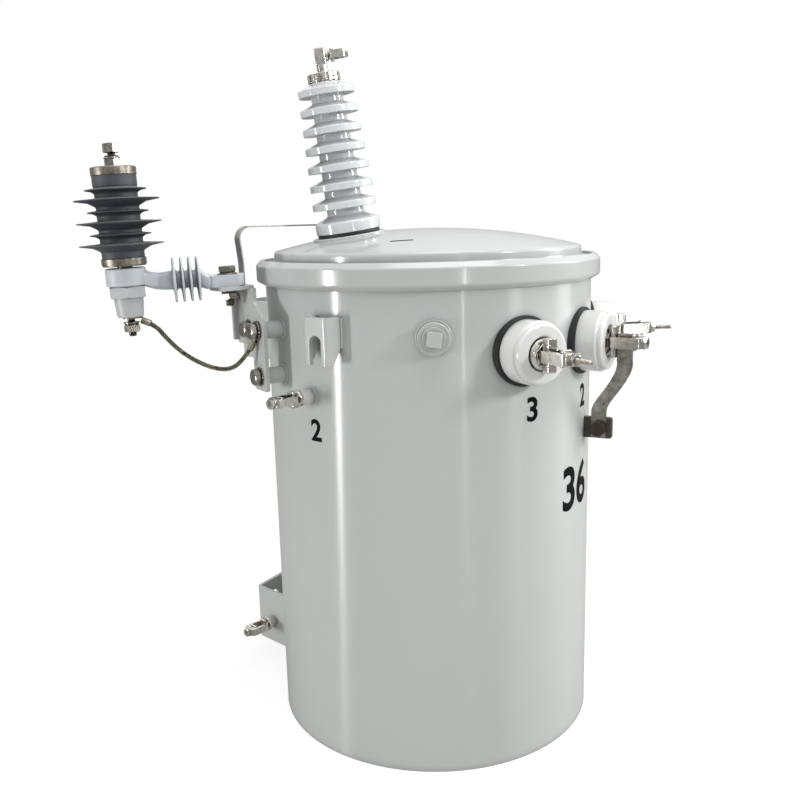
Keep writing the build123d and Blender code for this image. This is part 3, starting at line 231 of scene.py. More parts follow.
class Coat(Enum):
    """The finishes that this part has."""

    # Alkyd enamel, sprayed in one thick coat: soft gloss with a faint orange peel
    ENAMEL = Finish(
        "alkyd_enamel_sprayed", "tank_paint", "#c6c9c7", "#c0c3c1", (0.16, 0.2), 220, 0.035, 6.0, coat=0.2
    )
    # Alkyd enamel over rolled sheet: the same paint, and lamps draw out to narrow upright streaks
    WALL_ENAMEL = Finish(
        "alkyd_enamel_on_rolled_sheet", "tank_paint", "#c6c9c7", "#c0c3c1", (0.26, 0.26), 220, 0.035, 6.0,
        coat=0.1, grain=1.0,
    )
    # Sky grey glaze on wet process porcelain: deep smooth gloss, slightly wavy, with a far-reaching painted
    # shade that darkens the shaft between the sheds
    GREY_GLAZE = Finish(
        "porcelain_grey_glazed", "grey_porcelain", "#dde1e3", "#d6dbdd", (0.1, 0.16), 24, 0.12, 14,
        coat=0.4, corner=24, corner_shade_share=0.42,
    )
    # White glaze on porcelain: bright with soft edges
    WHITE_GLAZE = Finish(
        "porcelain_white_glazed", "white_porcelain", "#e6e7e5", "#dfe0de", (0.1, 0.16), 30, 0.10, 14, coat=0.4
    )
    # Silicone rubber, moulded: matt slate grey that holds dust on its upper faces
    SILICONE = DustyFinish(
        "silicone_rubber_moulded", "arrester_rubber", "#4b4e55", "#41444b", (0.5, 0.62), 30, 0.05, 1.6,
        dust="#98948f", dust_share=0.85,
    )
    # Nitrile rubber, die cut: near black and dull
    NITRILE = Finish(
        "nitrile_rubber_die_cut", "gasket_rubber", "#1b1d1e", "#232526", (0.5, 0.65), 8, 0.04, 1.2
    )
    # Bronze, cast and tin plated: warm silver with a satin break-up, and deep painted shade in its corners
    TINNED_BRONZE = StainedFinish(
        "tinned_bronze_cast", "tinned_metal", "#eeebe4", "#dcd9d0", (0.12, 0.24), 10, 0.12, 2.2, metallic=1.0,
        stain="#8a8374", stain_share=0.5, stain_size=7, corner=7, corner_shade_share=0.85,
    )
    # Copper strip, tin dipped: dull silver with long grey streaks
    TINNED_STRIP = StainedFinish(
        "copper_strip_tin_dipped", "tinned_metal", "#c9c6be", "#8b877d", (0.16, 0.32), 16, 0.08, 3.0,
        metallic=1.0, stain="#5d584d", stain_share=0.75, stain_size=13,
    )
    # Carbon steel, zinc plated and gone brown: dull straw with darker patches, and deep painted shade in its
    # corners
    PLATED_STEEL = StainedFinish(
        "steel_zinc_plated", "fastener_steel", "#bdb8ae", "#97928a", (0.18, 0.34), 7, 0.05, 1.4, metallic=1.0,
        stain="#4a433a", stain_share=0.65, stain_size=5, corner=7, corner_shade_share=0.8,
    )
    # Spring steel, oil blacked: near black with a low metal sheen
    BLACKED_STEEL = Finish(
        "steel_oil_blacked", "fastener_steel", "#5a544d", "#453f39", (0.3, 0.42), 6, 0.03, 1.2, metallic=0.9
    )
    # Steel strip, hot dip galvanised: mid grey with soft spangle
    GALVANISED = StainedFinish(
        "steel_hot_dip_galvanised", "galvanised_steel", "#b4b5b0", "#9d9e99", (0.34, 0.5), 14, 0.06, 2.5,
        metallic=1.0, stain="#7d7c74", stain_share=0.6, stain_size=9,
    )
    # Aluminium, die cast: warm grey with a dull sheen
    CAST_ALUMINIUM = StainedFinish(
        "aluminium_die_cast", "cap_aluminium", "#9b958b", "#857f75", (0.3, 0.44), 8, 0.06, 1.6,
        metallic=1.0, stain="#564f45", stain_share=0.6, stain_size=6,
    )
    # Copper wire braid, tinned: weathered to a dull olive
    TINNED_BRAID = StainedFinish(
        "copper_braid_tinned", "braid_metal", "#b0ac9c", "#958f7c", (0.3, 0.46), 4, 0.03, 0.8,
        metallic=0.9, stain="#56523f", stain_share=0.7, stain_size=9,
    )
    # Polyester compound, moulded: pale blue grey and satin
    MOULDED_POLYESTER = Finish(
        "polyester_moulded", "arm_plastic", "#ccd2d7", "#c4cbd1", (0.36, 0.46), 26, 0.04, 1.8
    )
    # Polycarbonate, moulded: light grey and a little glossier
    MOULDED_POLYCARBONATE = Finish(
        "polycarbonate_moulded", "disconnector_plastic", "#c2c5c6", "#b9bcbd", (0.32, 0.42), 22, 0.03, 1.5
    )
    # Steel bar, primed: dull brown with darker patches
    PRIMED_STEEL = StainedFinish(
        "steel_primed", "tab_paint", "#5a5148", "#4d453d", (0.4, 0.55), 8, 0.06, 1.8,
        stain="#3a322b", stain_share=0.7, stain_size=6,
    )
    # Enamel ink, stencilled: flat black
    STENCIL_INK = Finish(
        "enamel_ink_stencilled", "tank_paint", "#070808", "#0a0b0b", (0.55, 0.65), 12, 0.02, 1.5, ior=1.15
    )


def spokes(steps: int) -> list[float]:
    """Even angles once round."""
    return [2 * math.pi * k / steps for k in range(steps)]


@dataclass(frozen=True)
class Seat:
    """A flat place: its origin, two directions in it and the one that it faces."""

    origin: Vector
    x: Vector
    y: Vector
    z: Vector

    def at(self, x: float, y: float, z: float) -> Vector:
        """The point at these distances from the seat."""
        return self.origin + self.x * x + self.y * y + self.z * z

    def polar(self, radius: float, angle: float, z: float) -> Vector:
        """The point at this distance and angle round the direction that the seat faces."""
        return self.at(radius * math.cos(angle), radius * math.sin(angle), z)

    def circle(self, radius: float, z: float, steps: int) -> list[Vector]:
        """Even points round the direction that the seat faces."""
        return [self.polar(radius, a, z) for a in spokes(steps)]

    def lifted(self, z: float, x: float = 0.0, y: float = 0.0) -> "Seat":
        """The same seat moved along its own directions."""
        return Seat(self.at(x, y, z), self.x, self.y, self.z)

    def turned(self, angle: float) -> "Seat":
        """The same seat turned about the direction that it faces, in degrees."""
        c, s = math.cos(math.radians(angle)), math.sin(math.radians(angle))
        return Seat(self.origin, self.x * c + self.y * s, self.y * c - self.x * s, self.z)

    def flipped(self) -> "Seat":
        """The same place, facing the other way."""
        return Seat(self.origin, self.x, -self.y, -self.z)


GROUND = Seat(Vector((0, 0, 0)), Vector((1, 0, 0)), Vector((0, 1, 0)), UP)


def outward(angle: float) -> Vector:
    """The level direction at an angle round the tank."""
    return Vector((math.cos(math.radians(angle)), math.sin(math.radians(angle)), 0.0))


def wall_seat(angle: float, reach: float, height: float) -> Seat:
    """A seat that faces outwards, with x round the tank and y up."""
    out = outward(angle)
    return Seat(out * reach + UP * height, Vector((-out.y, out.x, 0)), UP, out)


def facing_seat(origin: Vector, facing: Vector, hint: Vector) -> Seat:
    """A seat that faces a direction, with its x as near to a hint as it goes."""
    z = facing.normalized()
    x = (hint - z * hint.dot(z)).normalized()
    return Seat(origin, x, z.cross(x), z)


def rounded(corners: Sequence[Triple], closed: bool = False, steps: int = 6) -> Profile:
    """Rounds the corners of a line.

    Args:
        corners: Each corner's two coordinates and its radius.
        closed: Whether the line comes back to its start.
        steps: How many short runs make up each arc.

    Returns:
        The points of the rounded line.
    """
    straight = math.pi - 0.01
    points: Profile = []
    for i, (x, y, radius) in enumerate(corners):
        here = Vector((x, y))
        if radius <= 0 or (not closed and i in (0, len(corners) - 1)):
            points.append((x, y))
            continue
        before = Vector(corners[i - 1][:2]) - here
        after = Vector(corners[(i + 1) % len(corners)][:2]) - here
        angle = before.angle(after)
        if angle > straight:
            points.append((x, y))
            continue
        run = min(radius / math.tan(angle / 2), before.length * 0.5, after.length * 0.5)
        reach = run * math.tan(angle / 2)
        inward = (before.normalized() + after.normalized()).normalized()
        middle = here + inward * (reach / math.sin(angle / 2))
        start = here + before.normalized() * run - middle
        end = here + after.normalized() * run - middle
        for k in range(steps + 1):
            spoke = start.slerp(end, k / steps) * reach
            points.append((middle.x + spoke.x, middle.y + spoke.y))
    return points


def box_outline(width: float, height: float, corner: float) -> Profile:
    """The outline of a box with rounded corners, about its middle."""
    x, y = width / 2, height / 2
    return rounded([(-x, -y, corner), (x, -y, corner), (x, y, corner), (-x, y, corner)], True, 4)


def bevel(mesh: bmesh.types.BMesh, edges: list[bmesh.types.BMEdge], offset: float) -> None:
    """Rounds a mesh's edges."""
    bmesh.ops.bevel(
        mesh, geom=edges, offset=offset, offset_type="OFFSET", segments=2, profile=0.5, affect="EDGES",
        clamp_overlap=True,
    )


def put(name: str, data: bpy.types.ID) -> bpy.types.Object:
    """Puts a new object in the scene."""
    made = bpy.data.objects.new(name, data)
    bpy.context.scene.collection.objects.link(made)
    return made


@dataclass
class Blank:
    """A mesh in the making, in millimetres; each method adds to it and gives it back."""

    mesh: bmesh.types.BMesh = field(default_factory=bmesh.new)

    def skin(self, rings: Sequence[Sequence[Vector]], closed: bool = False) -> "Blank":
        """Skins a row of rings with faces.

        Args:
            rings: The rings, each of the same number of points, or of one point at a tip.
            closed: Whether the last ring joins the first; otherwise open ends are capped.

        Returns:
            This blank.
        """
        add = self.mesh.faces.new
        rows = [[self.mesh.verts.new(point) for point in ring] for ring in rings]
        pairs = list(zip(rows, rows[1:])) + ([(rows[-1], rows[0])] if closed else [])
        for low, high in pairs:
            count = max(len(low), len(high))
            for k in range(count):
                after = (k + 1) % count
                if len(low) == 1:
                    add((low[0], high[after], high[k]))
                elif len(high) == 1:
                    add((low[k], low[after], high[0]))
                else:
                    add((low[k], low[after], high[after], high[k]))
        if not closed:
            for cap in (rows[0][::-1], rows[-1]):
                if len(cap) > 2:
                    add(cap)
        return self

    def turn(self, seat: Seat, corners: Sequence[Triple], steps: int = 96, closed: bool = False) -> "Blank":
        """Turns a rounded line about the direction that a seat faces.

        Args:
            seat: Where the line's heights start.
            corners: Each corner's distance from the axis, its height and its rounding, from the foot up.
            steps: How many runs go round.
            closed: Whether the line comes back to its start.

        Returns:
            This blank.
        """
        tip, line = 1e-4, rounded(corners, closed)
        return self.skin([seat.circle(r, z, 1 if r < tip else steps) for r, z in line], closed)

    def slab(self, seat: Seat, outline: Profile, low: float, high: float, edge: float = 0.0) -> "Blank":
        """Raises an outline to a slab with softened rims.

        Args:
            seat: The plane of the outline.
            outline: The outline's points, anticlockwise.
            low: Where the slab starts above the seat.
            high: Where it ends.
            edge: How far its rims are rounded.

        Returns:
            This blank.
        """
        foot = [self.mesh.verts.new(seat.at(x, y, low)) for x, y in outline]
        top = [self.mesh.verts.new(seat.at(x, y, high)) for x, y in outline]
        caps = [self.mesh.faces.new(foot[::-1]), self.mesh.faces.new(top)]
        for k in range(len(foot)):
            after = (k + 1) % len(foot)
            self.mesh.faces.new((foot[k], foot[after], top[after], top[k]))
        if edge > 0:
            bevel(self.mesh, [e for cap in caps for e in cap.edges], edge)
        return self

    def hexagon(self, seat: Seat, across: float, low: float, high: float, both: bool = False) -> "Blank":
        """Adds a hexagon with the turned chamfer that bolt heads and nuts have.

        Args:
            seat: Where it stands.
            across: Its width across flats.
            low: Where it starts above the seat.
            high: Where it ends.
            both: Whether its foot is chamfered as well.

        Returns:
            This blank.
        """
        side, slope, chamfer = math.pi / 3, math.tan(math.radians(30)), 0.96
        angles = spokes(72)
        crown = across / 2 * chamfer
        reaches = [across / 2 / math.cos((a + side / 2) % side - side / 2) for a in angles]
        drops = [(reach - crown) * slope for reach in reaches]
        crowns = [crown] * len(angles)
        # Each ring's radii, its level, and which way its corners drop
        rings = [(crowns, low, 0), (reaches, low, 1)] if both else [(reaches, low, 0)]
        rings += [(reaches, high, -1), (crowns, high, 0)]
        return self.skin(
            [
                [seat.polar(r, a, level + way * drop) for r, a, drop in zip(radii, angles, drops)]
                for radii, level, way in rings
            ]
        )

    def thread(self, seat: Seat, radius: float, low: float, high: float, pitch: float = 1.75) -> "Blank":
        """Adds a threaded length with a chamfered end.

        Args:
            seat: The plane that the lengths start at.
            radius: The thread's outer radius.
            low: Where it starts above the seat.
            high: Where it ends.
            pitch: The distance between its crests.

        Returns:
            This blank.
        """
        root, crest = radius - 0.6 * pitch, pitch * 0.06
        profile: Profile = [(0.0, low), (root, low)]
        level = low + pitch / 2
        while level < high - pitch:
            profile += [(radius, level - crest), (radius, level + crest), (root, level + pitch / 2)]
            level += pitch
        profile += [(radius * 0.97, high - pitch * 0.8), (root * 0.92, high), (0.0, high)]
        return self.turn(seat, [(r, z, 0) for r, z in profile], 40)

    def disc(self, seat: Seat, radius: float, low: float, high: float, edge: float = 0.4) -> "Blank":
        """Adds a round slab between two heights, with softened rims."""
        return self.turn(seat, [(0, low, 0), (radius, low, edge), (radius, high, edge), (0, high, 0)], 72)

    def coil(self, seat: Seat, radius: float, low: float, high: float, wall: float = 2.8) -> "Blank":
        """Adds a spring washer between two heights, a square wire ring with its ends apart."""
        steps, gap = 56, math.radians(12)
        square = ((radius - wall, low), (radius, low), (radius, high), (radius - wall, high))
        angles = [gap / 2 + (2 * math.pi - gap) * k / steps for k in range(steps + 1)]
        return self.skin([[seat.polar(r, a, z) for r, z in square] for a in angles])

    def grooved(self, seat: Seat, radius: float, height: float, grooves: int, depth: float) -> "Blank":
        """Adds a round nut with grooves down its rim.

        Args:
            seat: Where it stands.
            radius: Its outer radius.
            height: Its height.
            grooves: How many grooves go round.
            depth: How deep they are.

        Returns:
            This blank.
        """
        # One tooth's run, as shares of its pitch and of the groove's depth
        tooth = ((0, 0), (0.04, 0), (0.5, 0), (0.56, 0.08), (0.6, 0.9), (0.64, 1), (0.92, 1), (0.96, 0.9))
        # The rings, as shares of the height and of the radius
        levels = ((0.0, 0.94), (0.05, 0.985), (0.1, 1.0), (0.88, 1.0), (0.95, 0.985), (1.0, 0.94))
        rim = [
            (2 * math.pi * (number + share) / grooves, radius - sunk * depth)
            for number in range(grooves)
            for share, sunk in tooth
        ]
        return self.skin(
            [[seat.polar(r * scale, a, height * share) for a, r in rim] for share, scale in levels]
        )

    def bead(self, line: Sequence[Vector], radius: float, closed: bool = False) -> "Blank":
        """Lays a rippled weld bead along a line.

        Args:
            line: The points along its middle, in even steps.
            radius: The bead's radius.
            closed: Whether it comes back to its start.

        Returns:
            This blank.
        """
        rings = []
        last, ripple, beat = len(line) - 1, 0.1, 2.1
        for k, here in enumerate(line):
            ahead = line[(k + 1) % len(line) if closed else min(k + 1, last)]
            behind = line[k - 1 if closed else max(k - 1, 0)]
            seat = facing_seat(here, ahead - behind, Vector((here.x, here.y, 0)))
            rings.append(seat.circle(radius * (1 + ripple * math.cos(beat * k)), 0, 10))
        return self.skin(rings, closed)

    def copy(self, node: str, edge: float) -> "Blank":
        """Takes a solid's mesh over and rounds its sharp edges.

        Args:
            node: The solid's name.
            edge: How far its edges are rounded; zero leaves them sharp.

        Returns:
            This blank.
        """
        flat, sharp = math.radians(0.4), math.radians(38)
        start = bmesh.new()
        start.from_mesh(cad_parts[node].data)
        bmesh.ops.scale(start, vec=(1 / MM, 1 / MM, 1 / MM), verts=start.verts)
        bmesh.ops.remove_doubles(start, verts=start.verts, dist=0.02)
        bmesh.ops.dissolve_limit(start, angle_limit=flat, verts=start.verts, edges=start.edges, delimit=set())
        if edge > 0:
            pairs = [e for e in start.edges if len(e.link_faces) == 2]
            bevel(start, [e for e in pairs if e.calc_face_angle(0.0) > sharp], edge)
        whole = bpy.data.meshes.new("copy")
        start.to_mesh(whole)
        start.free()
        self.mesh.from_mesh(whole)
        bpy.data.meshes.remove(whole)
        return self

    def piece(self, name: str, coat: Coat, *nodes: str, crease: float = 32.0) -> bpy.types.Object:
        """Makes the blank a piece that rides on the part.

        Args:
            name: The piece's name.
            coat: Its finish.
            nodes: The solids that it stands for.
            crease: Edges sharper than this angle stay sharp.

        Returns:
            The piece.
        """
        bmesh.ops.scale(self.mesh, vec=(MM, MM, MM), verts=self.mesh.verts)
        bmesh.ops.recalc_face_normals(self.mesh, faces=self.mesh.faces)
        for face in self.mesh.faces:
            face.smooth = True
        data = bpy.data.meshes.new(name)
        self.mesh.to_mesh(data)
        self.mesh.free()
        data.set_sharp_from_angle(angle=math.radians(crease))
        piece = put(name, data)
        piece.modifiers.new("even_shading", "WEIGHTED_NORMAL").keep_sharp = True
        data.materials.append(coat.value.material())
        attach(piece, "root")
        if nodes:
            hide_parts(*nodes)
        LOG.info("%s: %d faces, %s", name, len(data.polygons), coat.value.name)
        return piece


def softened(node: str, coat: Coat, edge: float) -> None:
    """Dresses a solid with a finish, its edges rounded this far."""
    Blank().copy(node, edge).piece(f"{node}_dressed", coat, node)


@dataclass
class Studio:
    """The camera at the photograph's place, a pale floor and soft light."""

    eye: Triple = (0.0, -1240.9, 696.0)
    pitch: float = 11.35
    yaw: float = -1.98
    roll: float = -1.47
    turn: float = 28.5
    lens: float = 39.40
    sensor: float = 36.0
    floor_side: float = 40000.0
    paper: str = "#b9b9b7"
    shadow_paper: str = "#9a9a9a"
    shadow_light: float = 0.8
    shadow_run: Pair = (350.0, 1100.0)
    surround_light: float = 0.49
    surround_gloss: Pair = (0.4, 1.15)
    surround_rise: Pair = (0.0, 0.6)
    aim: float = 350.0
    # Each lamp's angle in degrees from the camera's side to the right, its reach and its height,
    # how wide and how tall it is, and its watts
    lamps: tuple[tuple[str, Triple, Pair, float], ...] = (
        ("lamp_left", (-62, 2500, 360), (120, 640), 21),
        ("lamp_middle", (22, 2500, 360), (60, 500), 2),
        ("lamp_right", (60, 2400, 1480), (320, 320), 22),
        ("lamp_far", (102, 2400, 1300), (700, 1400), 29),
        ("lamp_top", (40, 500, 2600), (1400, 1400), 24),
    )

    def camera(self) -> None:
        """Sets the camera."""
        th, ya, ro = (math.radians(v) for v in (self.pitch, self.yaw, self.roll))
        ahead = Vector((math.sin(ya) * math.cos(th), math.cos(ya) * math.cos(th), -math.sin(th)))
        right = Vector((math.cos(ya), -math.sin(ya), 0))
        above = right.cross(ahead)
        x = right * math.cos(ro) + above * math.sin(ro)
        y = above * math.cos(ro) - right * math.sin(ro)
        stand = Matrix((x, y, -ahead)).transposed().to_4x4()
        stand.translation = Vector(self.eye) * MM
        data = bpy.data.cameras.new("photo_camera")
        data.lens, data.sensor_width = self.lens, self.sensor
        camera = put("photo_camera", data)
        camera.matrix_world = Matrix.Rotation(math.radians(self.turn), 4, "Z") @ stand
        bpy.context.scene.camera = camera
        bpy.context.scene.view_settings.view_transform = "Standard"

    def floor(self) -> None:
        """Lays the floor: pale to the light, and nearly white to the camera with the shadow kept."""
        half = self.floor_side / 2 * MM
        corners = [(-half, -half, 0), (half, -half, 0), (half, half, 0), (-half, half, 0)]
        data = bpy.data.meshes.new("studio_floor")
        data.from_pydata(corners, [], [(0, 1, 2, 3)])
        material = bpy.data.materials.new("floor_paper_pale")
        tree = bare_tree(material)
        node = partial(add_node, tree)
        seen = node("ShaderNodeLightPath").outputs["Is Camera Ray"]
        paper = node("ShaderNodeBsdfDiffuse", {"Color": linear(self.paper)})
        grey = node("ShaderNodeBsdfDiffuse", {"Color": linear(self.shadow_paper)})
        dim = node("ShaderNodeEmission", {"Color": linear("#ffffff"), "Strength": self.shadow_light})
        lit = node("ShaderNodeAddShader", {0: grey.outputs[0], 1: dim.outputs[0]})
        white = node("ShaderNodeEmission", {"Color": linear("#ffffff"), "Strength": 1.0})
        place = node("ShaderNodeTexCoord").outputs["Object"]
        away = node("ShaderNodeVectorMath", {0: place}, operation="LENGTH").outputs["Value"]
        fade = mapped(tree, away, [v * MM for v in self.shadow_run], (0.0, 1.0))
        shown = node("ShaderNodeMixShader", {0: fade, 1: lit.outputs[0], 2: white.outputs[0]})
        both = node("ShaderNodeMixShader", {0: seen, 1: paper.outputs[0], 2: shown.outputs[0]})
        node("ShaderNodeOutputMaterial", {"Surface": both.outputs[0]})
        data.materials.append(material)
        put("studio_floor", data)

    def surround(self) -> None:
        """Sets the world: white behind the part, a plain grey light, and a brighter top when mirrored."""
        world = bpy.data.worlds.new("studio_surround")
        bpy.context.scene.world = world
        tree = bare_tree(world)
        node = partial(add_node, tree)
        white = node("ShaderNodeBackground", {"Color": linear("#ffffff"), "Strength": 1.0})
        path = node("ShaderNodeLightPath").outputs
        way = node("ShaderNodeTexCoord").outputs["Generated"]
        above = node("ShaderNodeSeparateXYZ", {0: way}).outputs["Z"]
        mirrored = mapped(tree, above, self.surround_rise, self.surround_gloss)
        level = mapped(tree, path["Is Glossy Ray"], (0.0, 1.0), (self.surround_light, mirrored))
        soft = node("ShaderNodeBackground", {"Color": linear("#ffffff"), "Strength": level})
        inputs = {0: path["Is Camera Ray"], 1: soft.outputs[0], 2: white.outputs[0]}
        both = node("ShaderNodeMixShader", inputs)
        node("ShaderNodeOutputWorld", {"Surface": both.outputs[0]})

    def light(self) -> None:
        """Hangs the soft lamps that face the tank."""
        for name, (angle, reach, height), (wide, tall), power in self.lamps:
            data = bpy.data.lights.new(name, "AREA")
            data.shape = "RECTANGLE"
            data.size, data.size_y = wide * MM, tall * MM
            data.energy = power
            spot = outward(angle + self.turn - 90) * reach + UP * height
            lamp = put(name, data)
            lamp.location = spot * MM
            lamp.rotation_euler = (UP * self.aim - spot).to_track_quat("-Z", "Y").to_euler()

    def build(self) -> None:
        """Sets the whole studio."""
        self.camera()
        self.floor()
        self.surround()
        self.light()


@dataclass
class Fasteners:
    """The bolts, nuts and studs that stand for one solid: steel, with blacked spring washers."""

    node: str
    coat: Coat = Coat.PLATED_STEEL
    washer_top: float = 1.5
    spring_top: float = 3.6
    spring_share: float = 0.51
    shank_share: float = 0.36
    twist: float = 11.0
    steel: Blank = field(default_factory=Blank)
    springs: Blank = field(default_factory=Blank)

    def head(
        self, seat: Seat, across: float, top: float, washer: float = 0.0, both: bool = False
    ) -> "Fasteners":
        """Adds a hexagon, on a flat and a spring washer where it has them.

        Args:
            seat: The face that it bears on.
            across: The hexagon's width across flats.
            top: How high the hexagon ends above the face.
            washer: The flat washer's radius, or zero for none.
            both: Whether both ends of the hexagon are chamfered.

        Returns:
            These fasteners.
        """
        if washer:
            self.steel.disc(seat, washer, 0, self.washer_top)
            self.springs.coil(seat, across * self.spring_share, self.washer_top, self.spring_top)
            self.steel.disc(seat, across * self.shank_share, self.washer_top, self.spring_top)
        low = self.spring_top if washer else 0.0
        self.steel.hexagon(seat.turned(self.twist), across, low, top, both)
        return self

    def tail(self, seat: Seat, radius: float, low: float, high: float) -> "Fasteners":
        """Adds a threaded length above a face."""
        self.steel.thread(seat, radius, low, high)
        return self

    def dress(self) -> None:
        """Makes the pieces."""
        self.steel.piece(f"{self.node}_turned", self.coat, self.node, crease=24)
        if len(self.springs.mesh.verts):
            self.springs.piece(f"{self.node}_spring_washers", Coat.BLACKED_STEEL)


@dataclass
class GroundLead:
    """The braided lead from the disconnector's stud to the bracket; shares are of a wire's radius."""

    route: tuple[Triple, ...] = (
        (-240.7, -306.6, 585.9), (-227.9, -297.8, 579.2), (-217.8, -290.5, 561.7), (-200.0, -279.1, 540.2),
        (-174.5, -262.6, 522.9), (-152.0, -248.0, 519.0), (-137.5, -236.5, 535.0), (-128.1, -229.7, 553.0),
    )
    radius: float = 2.8
    carriers: int = 8
    wires: int = 3
    wire_radius: float = 0.36
    wire_spacing: float = 2.05
    core_share: float = 2.1
    sunk_share: float = 1.1
    weave_share: float = 0.5
    lay: float = 15.0

    def line(self) -> list[Vector]:
        """Reads the points of the route's smooth spline, in millimetres."""
        data = bpy.data.curves.new("lead_line", "CURVE")
        data.dimensions = "3D"
        spline = data.splines.new("NURBS")
        spline.points.add(len(self.route) - 1)
        for point, place in zip(spline.points, self.route):
            point.co = (*(v * MM for v in place), 1.0)
        spline.order_u = 3
        spline.use_endpoint_u = True
        spline.resolution_u = 32
        guide = bpy.data.objects.new("lead_line", data)
        read = bpy.data.meshes.new_from_object(guide)
        points = [v.co / MM for v in read.vertices]
        bpy.data.objects.remove(guide)
        bpy.data.meshes.remove(read)
        return points

    def build(self) -> None:
        points = self.line()
        seats: list[Seat] = []
        lengths: list[float] = []
        hint, gone = UP, 0.0
        for k, here in enumerate(points):
            before, after = points[max(k - 1, 0)], points[min(k + 1, len(points) - 1)]
            seats.append(facing_seat(here, after - before, hint))
            hint = seats[-1].x
            gone += (here - before).length
            lengths.append(gone)
        core = self.radius - self.core_share * self.wire_radius
        blank = Blank().skin([seat.circle(core, 0, 16) for seat in seats])
        for hand in (1, -1):
            for carrier in range(self.carriers):
                for wire in range(self.wires):
                    blank.skin(self.strand(seats, lengths, hand, carrier, wire))
        lead = blank.piece("ground_lead_braid", Coat.TINNED_BRAID, "ground_lead", crease=60)

    def strand(
        self, seats: Sequence[Seat], lengths: Sequence[float], hand: int, carrier: int, wire: int
    ) -> list[list[Vector]]:
        """Lays one wire of the braid along the lead.

        Args:
            seats: The lead's cross sections.
            lengths: How far along each is.
            hand: Which way round the wire goes.
            carrier: Which bundle it is in.
            wire: Its place in the bundle.

        Returns:
            The rings of the wire's skin.
        """
        rings = []
        thick = self.wire_radius
        start = 2 * math.pi * carrier / self.carriers
        across = (wire - (self.wires - 1) / 2) * self.wire_spacing * thick / self.radius
        for seat, gone in zip(seats, lengths):
            angle = hand * 2 * math.pi * gone / self.lay + start + across
            weave = math.cos(self.carriers * angle + math.pi * carrier) * hand
            reach = self.radius - self.sunk_share * thick + self.weave_share * thick * weave
            out = seat.x * math.cos(angle) + seat.y * math.sin(angle)
            side = out.cross(seat.z)
            middle = seat.origin + out * reach
            rings.append(Seat(middle, out, side, seat.z).circle(thick, 0, 5))
        return rings


@dataclass(frozen=True)
class EyeSizes:
    """Sizes of one eyebolt clamp, outwards along its axis from its seat."""

    collar: Pair
    shank: Pair
    jaw: Triple
    eye: Triple
    arm: float
    bend: float
    saddle: Triple
    screw: float
    head: Pair
    tail: float


class Eye(Enum):
    """The kinds of eyebolt clamp on the part."""

    LINE = EyeSizes((18.5, 9), (8, 4), (13, 41, 11), (27, 14, 36), 5, 5, (14.5, 20, 5), 2.8, (13, 6.5), 24)
    NEUTRAL = EyeSizes((18.5, 7), (8, 2), (13, 41, 7), (27, 14, 34), 4.5, 9, (16, 21, 4), 3.6, (14, 5), 0)
    GROUND = EyeSizes((11, 6), (5.5, 2.5), (11, 21, 5), (23, 11, 27), 4.2, 11, (14, 14, 4), 3.4, (12, 5), 0)
    SMALL = EyeSizes((7, 4), (4.5, 1.5), (9, 17, 4.5), (15, 10, 15), 3, 3, (8.4, 11.3, 3), 2.5, (9.6, 3.5), 0)

    def bolt(self, blank: Blank, seat: Seat) -> None:
        """Adds an eyebolt to a blank: collar, shank, jaw, and the fork that ends in the screw's lug."""
        size = self.value
        (radius, high), (shank, run), (wide, tall, deep) = size.collar, size.shank, size.jaw
        collar = [(0, 0, 0), (radius, 0, 0), (radius, high * 0.7, 1.2)]
        blank.turn(seat, [*collar, (radius * 0.7, high, 1.0), (0, high, 0)])
        blank.hexagon(seat.turned(9), radius * 1.3, high * 0.6, high + run * 0.6, True)
        blank.disc(seat, shank, high, high + run + 1)
        jaw = seat.lifted(high + run)
        blank.slab(jaw, box_outline(wide, tall, 1.8), 0, deep, 1.3)
        self.fork(blank, Seat(jaw.at(0, 0, deep), seat.x, seat.z, -seat.y))

    def fork(self, blank: Blank, plane: Seat) -> None:
        """Adds the fork's two halves to a blank, in a plane with y outwards from the jaw's face."""
        size = self.value
        side, half, length = size.eye[0] / 2, size.eye[1] / 2, size.eye[2]
        inner, window = side - size.arm, length - 2 * size.arm
        yoke = min(size.jaw[2], 6.0)
        right = [
            (0, -yoke, 0), (side, -yoke, 2), (side, length, size.bend), (0, length, 0),
            (0, window, 0), (inner, window, 2.2), (inner, 0, 0.8), (0, 0, 0),
        ]
        for way in (1, -1):
            line = rounded([(x * way, y, r) for x, y, r in right[::way]], True)
            blank.slab(plane, line, -half, half, 0.9)

    def dress(self, seat: Seat, eyebolt: str, clamp: str, blank: Blank | None = None) -> None:
        """Builds an eyebolt, and the saddle and screw that close it.

        Args:
            seat: The eyebolt's seat.
            eyebolt: The eyebolt's solid.
            clamp: The saddle and screw's solid.
            blank: What else goes in the eyebolt's piece.
        """
        size = self.value
        blank = blank or Blank()
        self.bolt(blank, seat)
        blank.piece(f"{eyebolt}_cast", Coat.TINNED_BRONZE, eyebolt)
        wide, tall, deep = size.saddle
        across, high = size.head
        head = size.collar[1] + size.shank[1] + size.jaw[2] + size.eye[2]
        start = head - 2 * size.arm - deep - 0.3
        blank = Blank().slab(seat, box_outline(wide, tall, 1.8), start, start + deep, 1.1)
        blank.disc(seat, across * 0.6, head, head + 1.2, 0.3)
        blank.hexagon(seat.turned(17), across, head + 1.2, head + high, True)
        blank.thread(seat, size.screw, start + deep / 2, head + high + size.tail, 1.25)
        blank.piece(f"{clamp}_turned", Coat.TINNED_BRONZE, clamp, crease=24)


@dataclass
class OnTank:
    """What the sub-assemblies share: the wall's radius and the cover's dome."""

    radius: float = 225.0
    crown: float = 690.2
    dome: float = 842.7

    def level(self, reach: float) -> float:
        """The cover's level at a distance from the tank's axis."""
        return self.crown - self.dome + math.sqrt(self.dome**2 - reach**2)


